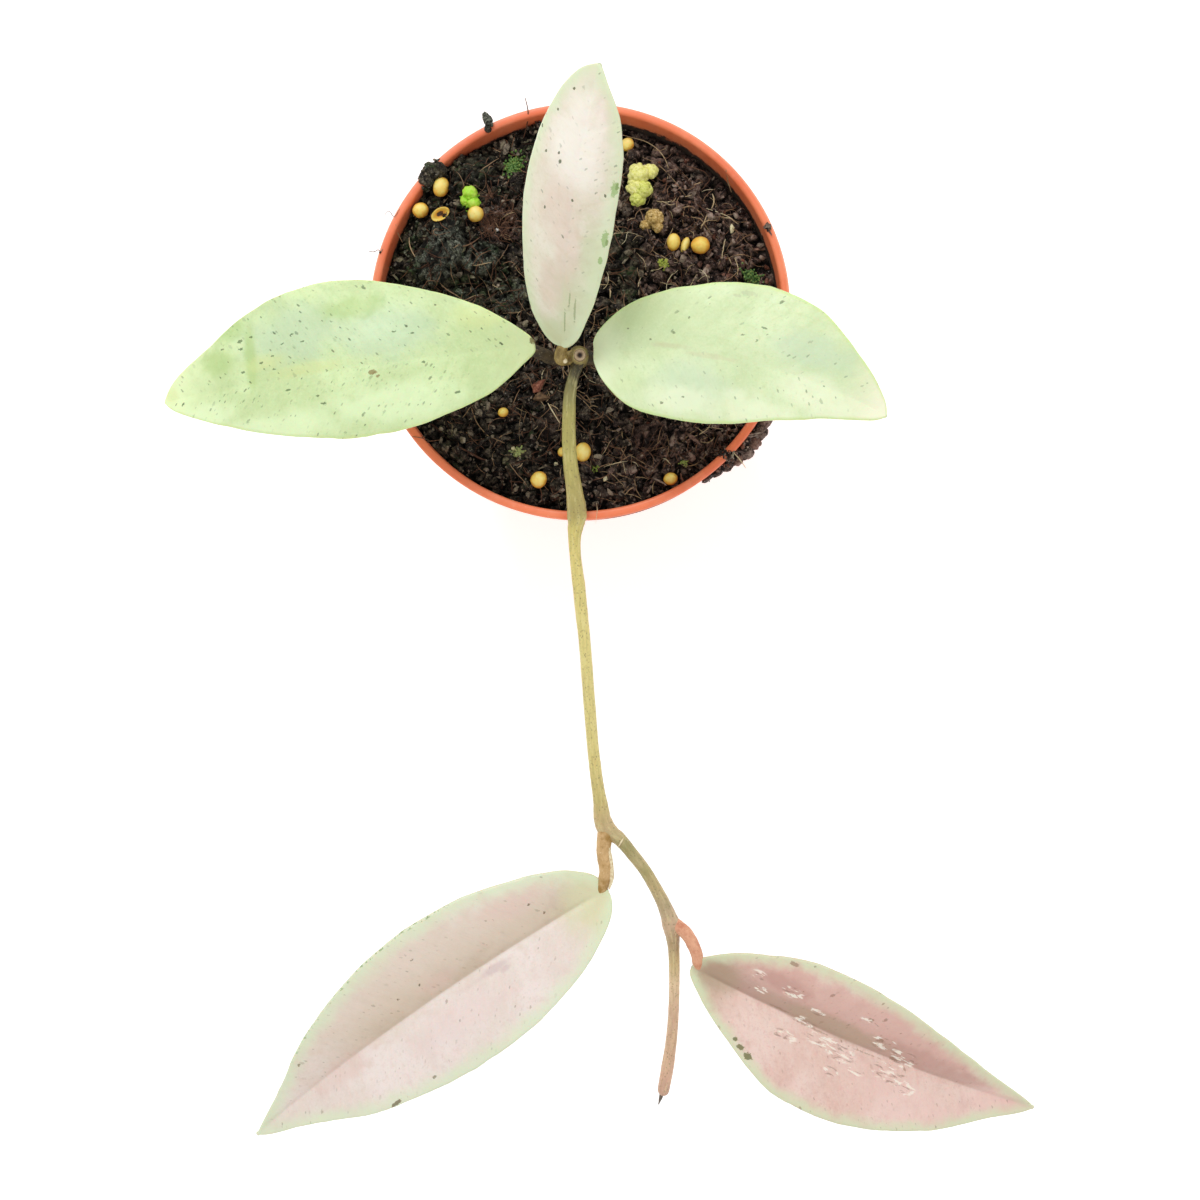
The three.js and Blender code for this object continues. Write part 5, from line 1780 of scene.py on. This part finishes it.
def add_main_stem():
    def relief(points, far, turn):
        furrow = 0.07 * fractal(np.column_stack([far * 0.25, np.cos(turn) * 2, np.sin(turn) * 2]), 0.8, 3, 2)
        return furrow + 0.06 * fractal(points, 1.3, 3, 4)

    points, faces, far, turn = tube(MAIN_STEM, 72, 0.22, relief)
    # The cut end is flat, with the pith a little sunk.
    length = far.max()
    top = np.array(MAIN_STEM[-1][:3])
    way = top - np.array(MAIN_STEM[-2][:3])
    way /= np.linalg.norm(way)
    over = (points - top) @ way
    off = points - top - np.outer(over, way)
    distance = np.linalg.norm(off, axis=1)
    cut = over > 0
    dish = -0.22 * smooth(-distance, -1.0, -0.3) - 0.5 * smooth(-distance, -0.5, -0.2)
    flat = top + off + np.outer(0.05 + dish, way)
    points = np.where(cut[:, None], flat, points)
    rings = np.where(cut, distance, 9.0)
    values = {"stem_mm": stem_values(far, turn, 1.7), "scurf": scurf_at(points, MAIN_SCURF), "cut": rings}
    stem = build_one("stem_main", "woody_stem", main_stem_material(length), points, faces, **values)
    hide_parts("main_stem")


def main_stem_material(length):
    speckle = ("6C6038", "C2B87C", "4A3F26")
    cork = ("5F4A2C", "8D7448", "C0A878")
    material = stem_material("woody_stem", MAIN_COLOURS, length, speckle, cork)
    paint = Paint(material=material)
    skin = paint.shader.inputs["Base Color"].links[0].from_socket
    cut = paint.value("cut")
    rings = [
        (0.0, "1E150F"), (0.2, "2E221A"), (0.3, "5E4C3A"), (0.5, "A58F72"), (0.7, "A8926C"),
        (0.82, "6E5A3C"), (0.95, "5A472E"),
    ]
    wood = paint.ramp(paint.math("DIVIDE", cut, 1.35), rings)
    wood = paint.coats(wood, (paint.noise(paint.place(), 0.3, 4), 0.4, 0.7, 0.4, "3A2C20"))
    colour = paint.mix(paint.math("LESS_THAN", cut, 5.0), skin, wood)
    return paint.finish(Base_Color=colour)


def add_trailing_stem():
    def relief(points, far, turn):
        loop = np.column_stack([far * 0.2, np.cos(turn) * 1.6, np.sin(turn) * 1.6])
        push = 0.045 * fractal(loop, 0.7, 3, 12) + 0.04 * fractal(points, 1.1, 3, 14)
        for node in TRAILING_NODES:
            gap = np.linalg.norm(points - node, axis=1)
            push += bell(gap, 3.2) * 0.16 * fractal(points, 1.2, 3, 19)
            push -= 0.07 * bell(gap - 2.6, 0.35)
        groove = bell(points[:, 1] + 105.0 + 0.3 * points[:, 0], 0.35)  # across the node at the fork
        push -= 0.25 * groove * smooth(-points[:, 0], -6.6, -5.4)
        return push

    points, faces, far, turn = tube(TRAILING_STEM, 56, 0.24, relief)
    values = {"stem_mm": stem_values(far, turn, 1.3), "scurf": scurf_at(points, TRAILING_SCURF)}
    speckle = ("8C8350", "E6DCA0", "80704A")
    cork = ("7A5C40", "A98A66", "D2B694")
    material = stem_material("green_stem", TRAILING_COLOURS, float(far.max()), speckle, cork)
    stem = build_one("stem_trailing", "green_stem", material, points, faces, **values)
    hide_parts("trailing_stem")
    add_dead_tip()


def add_dead_tip():
    """The withered end of the shoot, a thin grey spike."""
    points, faces, far, turn = tube(DEAD_TIP, 20, 0.15, lambda p, f, t: 0.08 * fractal(p, 0.5, 3, 5))
    material = stalk_material("dead_tip", "3A332C", "6E6256")
    build_one("stem_dead_tip", "green_stem", material, points, faces, stem_mm=stem_values(far, turn, 0.4))


# Stations x, y, z, radius and the tone of: a pale bead on the back leaf's stub, partly a drop of sap and
# partly a painted highlight, a fibre across the branch, and a strip of skin that peeled off the front left
# leaf's stalk.
STEM_SCRAPS = [
    ([(-2.2, -13.38, 85.6, 0.4), (-2.12, -13.52, 85.5, 0.42), (-2.08, -13.62, 85.4, 0.4)], 0.97),
    ([(7.71, -107.96, 66.55, 0.12), (8.26, -107.02, 67.12, 0.18), (8.81, -106.09, 66.6, 0.12)], 0.95),
    (
        [
            (5.51, -106.94, 66.9, 0.25), (5.95, -109.49, 67.0, 0.5), (6.3, -112.04, 67.0, 0.55),
            (6.4, -114.42, 67.0, 0.4), (5.95, -116.2, 66.9, 0.2),
        ],
        0.93,
    ),
]


def add_stem_scraps(material):
    """The small loose things on the stems and stalks."""
    pile = Pile()
    for stations, tone in STEM_SCRAPS:
        points, faces, _, _ = tube(stations, 12, 0.15, lambda p, f, t: 0.08 * fractal(p, 0.7, 2, 4))
        pile.add(points, faces, tone=tone)
    pile.build("stem_scraps", material)


# ---------------------------------------------------------------- leaves

def half_width(eighths, u):
    """Half width at stations u in 0..1, a smooth curve through zero, the given eighths and zero."""
    values = np.array([0, *eighths, 0], float)
    slopes = np.concatenate([[LEAF_BASE_SLOPE * values[1]], (values[2:] - values[:-2]) / 2, [0]])
    place = np.clip(u, 0, 1) * (len(values) - 1)
    k = np.minimum(np.floor(place).astype(int), len(values) - 2)
    return hermite(values, slopes, k, place - k)


def midrib_direction(leaf, t):
    heading = np.radians(leaf["heading"] + leaf["bend"] * (t - 0.5))
    rise = np.radians(leaf["rise"][0] + (leaf["rise"][1] - leaf["rise"][0]) * t)
    return np.stack([np.cos(rise) * np.cos(heading), np.cos(rise) * np.sin(heading), np.sin(rise)], axis=-1)


def blade_frames(leaf, t):
    """Midrib points and the blade's own axes at the fractions t of its length."""
    middle = (t[1:] + t[:-1]) / 2
    steps = midrib_direction(leaf, middle) * (leaf["length"] * np.diff(t))[:, None]
    points = np.array(leaf["base"]) + np.concatenate([np.zeros((1, 3)), np.cumsum(steps, axis=0)])
    forward = midrib_direction(leaf, t)
    level = np.cross((0, 0, 1), forward)
    level /= np.linalg.norm(level, axis=1)[:, None]
    roll = np.radians(leaf["roll"][0] + (leaf["roll"][1] - leaf["roll"][0]) * t)[:, None]
    left = level * np.cos(roll) + np.cross(forward, level) * np.sin(roll)
    return points, forward, left, np.cross(forward, left)


def blade_height(leaf, x):
    fold = math.tan(math.radians(leaf["fold"]))
    return fold * (np.hypot(x, 1) - 1) - leaf["curl"] * x * x / 100


def marks_at(s, x, marks):
    """How strongly soft oval marks show at points of a blade, 0 to 1."""
    mask = np.zeros(len(s))
    for mark_s, mark_x, half_length, half_across in marks:
        mask = np.maximum(mask, bell(np.hypot((s - mark_s) / half_length, (x - mark_x) / half_across), 1))
    return mask


def blade_widths(leaf, s, u, close, seed):
    """Half widths left and right of the midrib, with a slightly waved margin."""
    widths = []
    for side, key in ((1, "left"), (-1, "right")):
        raw = np.maximum(half_width(leaf[key], u), LEAF_TIP_HALF_WIDTH * close)
        line = np.column_stack([s, s * 0 + LEAF_SIDES_APART * side, s * 0])
        wave = sum(depth * noise(line, size, seed + k) for k, (depth, size) in enumerate(LEAF_WAVES))
        widths.append(raw + wave * smooth(raw, 1.5, 5))
    return widths


def blade_unevenness(look, s, x, width, seed):
    """How the blade rolls, dents and swells."""
    roll = look["relief"][1]
    grid = np.column_stack([np.repeat(s, x.shape[1]), x.ravel(), np.full(x.size, 3.7 * seed)])
    uneven = roll * fractal(grid, 13, 2, seed + 5) + 0.3 * roll * noise(grid, 3.4, seed + 9)
    uneven += 0.05 * noise(grid, 1.4, seed + 13)
    for dent_s, dent_x, half_length, half_across, height in look["dents"]:
        place = np.hypot((grid[:, 0] - dent_s) / half_length, (grid[:, 1] - dent_x) / half_across)
        uneven += height * bell(place, 1)
    return uneven.reshape(x.shape) * smooth(width, 1, 6)


def blade_faces(leaf, look, t, x, share, pillow, uneven):
    """Heights of the blade's top and bottom over its own plane."""
    s = t * leaf["length"]
    slim = np.clip((1 - t) / LEAF_TIP_SHARE, LEAF_TIP_SLIMMING, 1)[:, None]
    keel_height, keel_width, keel_share = LEAF_KEEL
    keel = keel_height * np.maximum(0, 1 - t / keel_share)[:, None] * bell(x, keel_width)
    thick = slim * (LEAF_MIDDLE + (LEAF_EDGE - LEAF_MIDDLE) * share**2)
    groove_depth, _, vein_height = look["relief"]
    lateral = (s[:, None] - VEIN_SLANT * np.abs(x)) / VEIN_GAP
    vein = -vein_height * bell(np.abs((lateral % 1) - 0.5), 0.12) * smooth(np.abs(x), 0.6, 3)
    ends = smooth(s, 1, 6)[:, None] * smooth(leaf["length"] - s, 0.5, 6)[:, None]
    face = blade_height(leaf, x) + uneven
    top = face - thick / 2 * (1 - pillow) + (vein - groove_depth * bell(x, 0.55) * ends) * pillow
    return top, face - thick / 2 * (1 + pillow) - keel * pillow


def blade_values(look, seed, length, s, x, values):
    """What the leaf's material reads at each point, added to edge, along and top."""
    under = values["top"] < 0.5
    slant = s - VEIN_SLANT * np.abs(x)
    values["leaf_mm"] = np.column_stack([s + 7 * seed, x, 30 * under])
    values["vein_mm"] = np.column_stack([slant + 7 * seed, x * 1.2, 90 * under])
    _, _, side, reach, start = look.get("fold_shade", ("", 0, 1, 1, 1))
    ramp_up = smooth(s, 0, start) * smooth(length - s, 4, 0.5 * length)
    values["fold"] = smooth(side * x, -0.2, 0.35) * bell(x, reach) * ramp_up
    _, side, start, end = look.get("nibble", ("", 1, 0, 1))
    values["nibble"] = (side * x > 0) * smooth(s, start, start + 6) * smooth(end - s, 0, 6)
    values["scratch"] = marks_at(s, x, look.get("scratches", ("", "", []))[2])
    for kind in ("casts", "spots"):
        for i, (_, _, marks) in enumerate(look[kind]):
            values[f"{kind}_{i}"] = marks_at(s, x, marks)
    return values


def leaf_mesh(name, leaf, look):
    """The blade: a solid pillow with rounded margins, rolling unevenness, a midrib groove and a keel."""
    seed = sum(map(ord, name))
    length = leaf["length"]
    even = np.linspace(0, 1, LEAF_RINGS)
    t = 0.35 * even + 0.65 * (1 - np.cos(np.pi * even)) / 2
    s = t * length
    points, _, left, up = blade_frames(leaf, t)
    theta = np.pi * np.arange(2 * LEAF_COLUMNS) / LEAF_COLUMNS
    upper = (np.sin(theta) >= -1e-9)[None, :]
    half_turn = np.where(upper, theta, 2 * np.pi - theta)
    share = 0.5 * np.cos(half_turn) + 0.5 * (1 - 2 * half_turn / np.pi)
    near_end = np.minimum(t, 1 - t)
    nose = LEAF_TIP_HALF_WIDTH / length
    close = np.sqrt(np.clip(1 - (1 - near_end / nose) ** 2, 0, 1))
    close = np.where(near_end >= nose, 1, close)
    wide_left, wide_right = blade_widths(leaf, s, np.arccos(1 - 2 * t) / np.pi, close, seed)
    width = np.where(share >= 0, wide_left[:, None], wide_right[:, None])
    x = width * share
    gap = width * (1 - np.abs(share))
    rounding = np.minimum(gap / LEAF_MARGIN_ROUND, 1)
    pillow = np.sqrt(np.clip(1 - (1 - rounding) ** 2, 0, 1)) * close[:, None]
    top, bottom = blade_faces(leaf, look, t, x, share, pillow, blade_unevenness(look, s, x, width, seed))
    z = np.where(upper, top, bottom)
    grid = points[:, None] + left[:, None] * x[..., None] + up[:, None] * z[..., None]
    grid = grid[:, ::-1]  # turned round, so that the faces look outward
    mesh_points = np.concatenate([grid.reshape(-1, 3), [grid[0].mean(axis=0), grid[-1].mean(axis=0)]])

    def spread(field):
        field = np.broadcast_to(field, x.shape)[:, ::-1]
        return np.concatenate([field.ravel(), [field[0].mean(), field[-1].mean()]])

    facing = spread(smooth(np.where(upper, 1.0, -1.0) * pillow, -0.3, 0.3))
    values = {"edge": spread(gap), "along": spread(t[:, None]), "top": facing}
    values = blade_values(look, seed, length, spread(s[:, None]), spread(x), values)
    return mesh_points, loft_faces(*x.shape), values


def add_leaf(name):
    leaf, look = LEAVES[name], LEAF_LOOKS[name]
    slot = look["slot"]
    points, faces, values = leaf_mesh(name, leaf, look)
    blade = build_one(f"{name}_blade", slot, leaf_material(name, look), points, faces, **values)
    stations = list(leaf["stalk"])
    start, forward, _, up = (part[0] for part in blade_frames(leaf, np.array([0.0, 1.0])))
    for distance, radius in leaf.get("seat", LEAF_SEAT):
        stations.append((*(start + forward * distance - up * LEAF_SEAT_DEPTH), radius))

    def relief(at, far, turn):
        return 0.07 * fractal(at, 1.2, 3, 8) + 0.05 * fractal(at * (1, 1, 0.4), 0.5, 2, 3)

    points, faces, far, turn = tube(stations, 48, 0.2, relief)
    material = stalk_material(f"{name}_stalk", *look["stalk"])
    skin = stem_values(far, turn, 1.2)
    stalk = build_one(f"{name}_stalk", slot, material, points, faces, stem_mm=skin)
    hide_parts(name)
    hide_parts(name)


# ---------------------------------------------------------------- stage, light and camera

def add_stage():
    mesh = bpy.data.meshes.new("floor")
    half = FLOOR_HALF_WIDTH
    corners = [(-half, -half, 0), (half, -half, 0), (half, half, 0), (-half, half, 0)]
    mesh.from_pydata(corners, [], [(0, 1, 2, 3)])
    floor = bpy.data.objects.new("floor", mesh)
    bpy.context.scene.collection.objects.link(floor)
    paint = Paint("floor_paint")
    cloud = paint.noise(paint.place(), 300, 2)
    colour = paint.ramp(cloud, [(0.3, "F7F7F5"), (0.7, "FBFBFA")])
    sockets = {"Base_Color": colour, "Roughness": 0.8, "Specular_IOR_Level": 0.1}
    glow = {"Emission_Color": "FFFFFF", "Emission_Strength": FLOOR_GLOW}
    mesh.materials.append(paint.finish(**sockets, **glow))


def add_area_light(name, place, size, power):
    light = bpy.data.lights.new(name, "AREA")
    light.shape = "DISK"
    light.size = size
    light.energy = power
    lamp = bpy.data.objects.new(name, light)
    lamp.location = place
    lamp.rotation_euler = (Vector(LIGHT_AIM) - Vector(place)).to_track_quat("-Z", "Y").to_euler()
    bpy.context.scene.collection.objects.link(lamp)


def add_lights():
    world = bpy.data.worlds.new("studio")
    world.use_nodes = True
    background = world.node_tree.nodes["Background"]
    background.inputs["Color"].default_value = (1, 1, 1, 1)
    background.inputs["Strength"].default_value = SKY_STRENGTH
    bpy.context.scene.world = world
    for lamp in LIGHTS:
        add_area_light(*lamp)


def add_camera():
    camera = bpy.data.cameras.new("camera")
    camera.lens = CAMERA_LENS
    camera.sensor_width = CAMERA_SENSOR
    camera.clip_start = 0.01
    camera.clip_end = 20
    eye = bpy.data.objects.new("camera", camera)
    ahead = Vector(CAMERA_AIM).normalized()
    right = ahead.cross(Vector((0, 1, 0))).normalized()
    up = right.cross(ahead)
    eye.matrix_world = Matrix.Translation(CAMERA_PLACE) @ Matrix((right, up, -ahead)).transposed().to_4x4()
    bpy.context.scene.collection.objects.link(eye)
    bpy.context.scene.camera = eye


def set_colours():
    view = bpy.context.scene.view_settings
    view.view_transform = "Standard"
    view.look = "None"


# ---------------------------------------------------------------- the plant

add_camera()
add_lights()
add_stage()
set_colours()
add_pot()
soil_paint = soil_material()
add_soil_surface(soil_paint)
add_crumbs(soil_paint)
add_rim_dirt(soil_paint)
fibre_paint = fibre_material()
add_fibres(fibre_paint)
add_granules(granule_material())
add_clumps()
add_moss()
add_main_stem()
add_trailing_stem()
add_stem_scraps(fibre_paint)
for leaf_name in LEAVES:
    add_leaf(leaf_name)
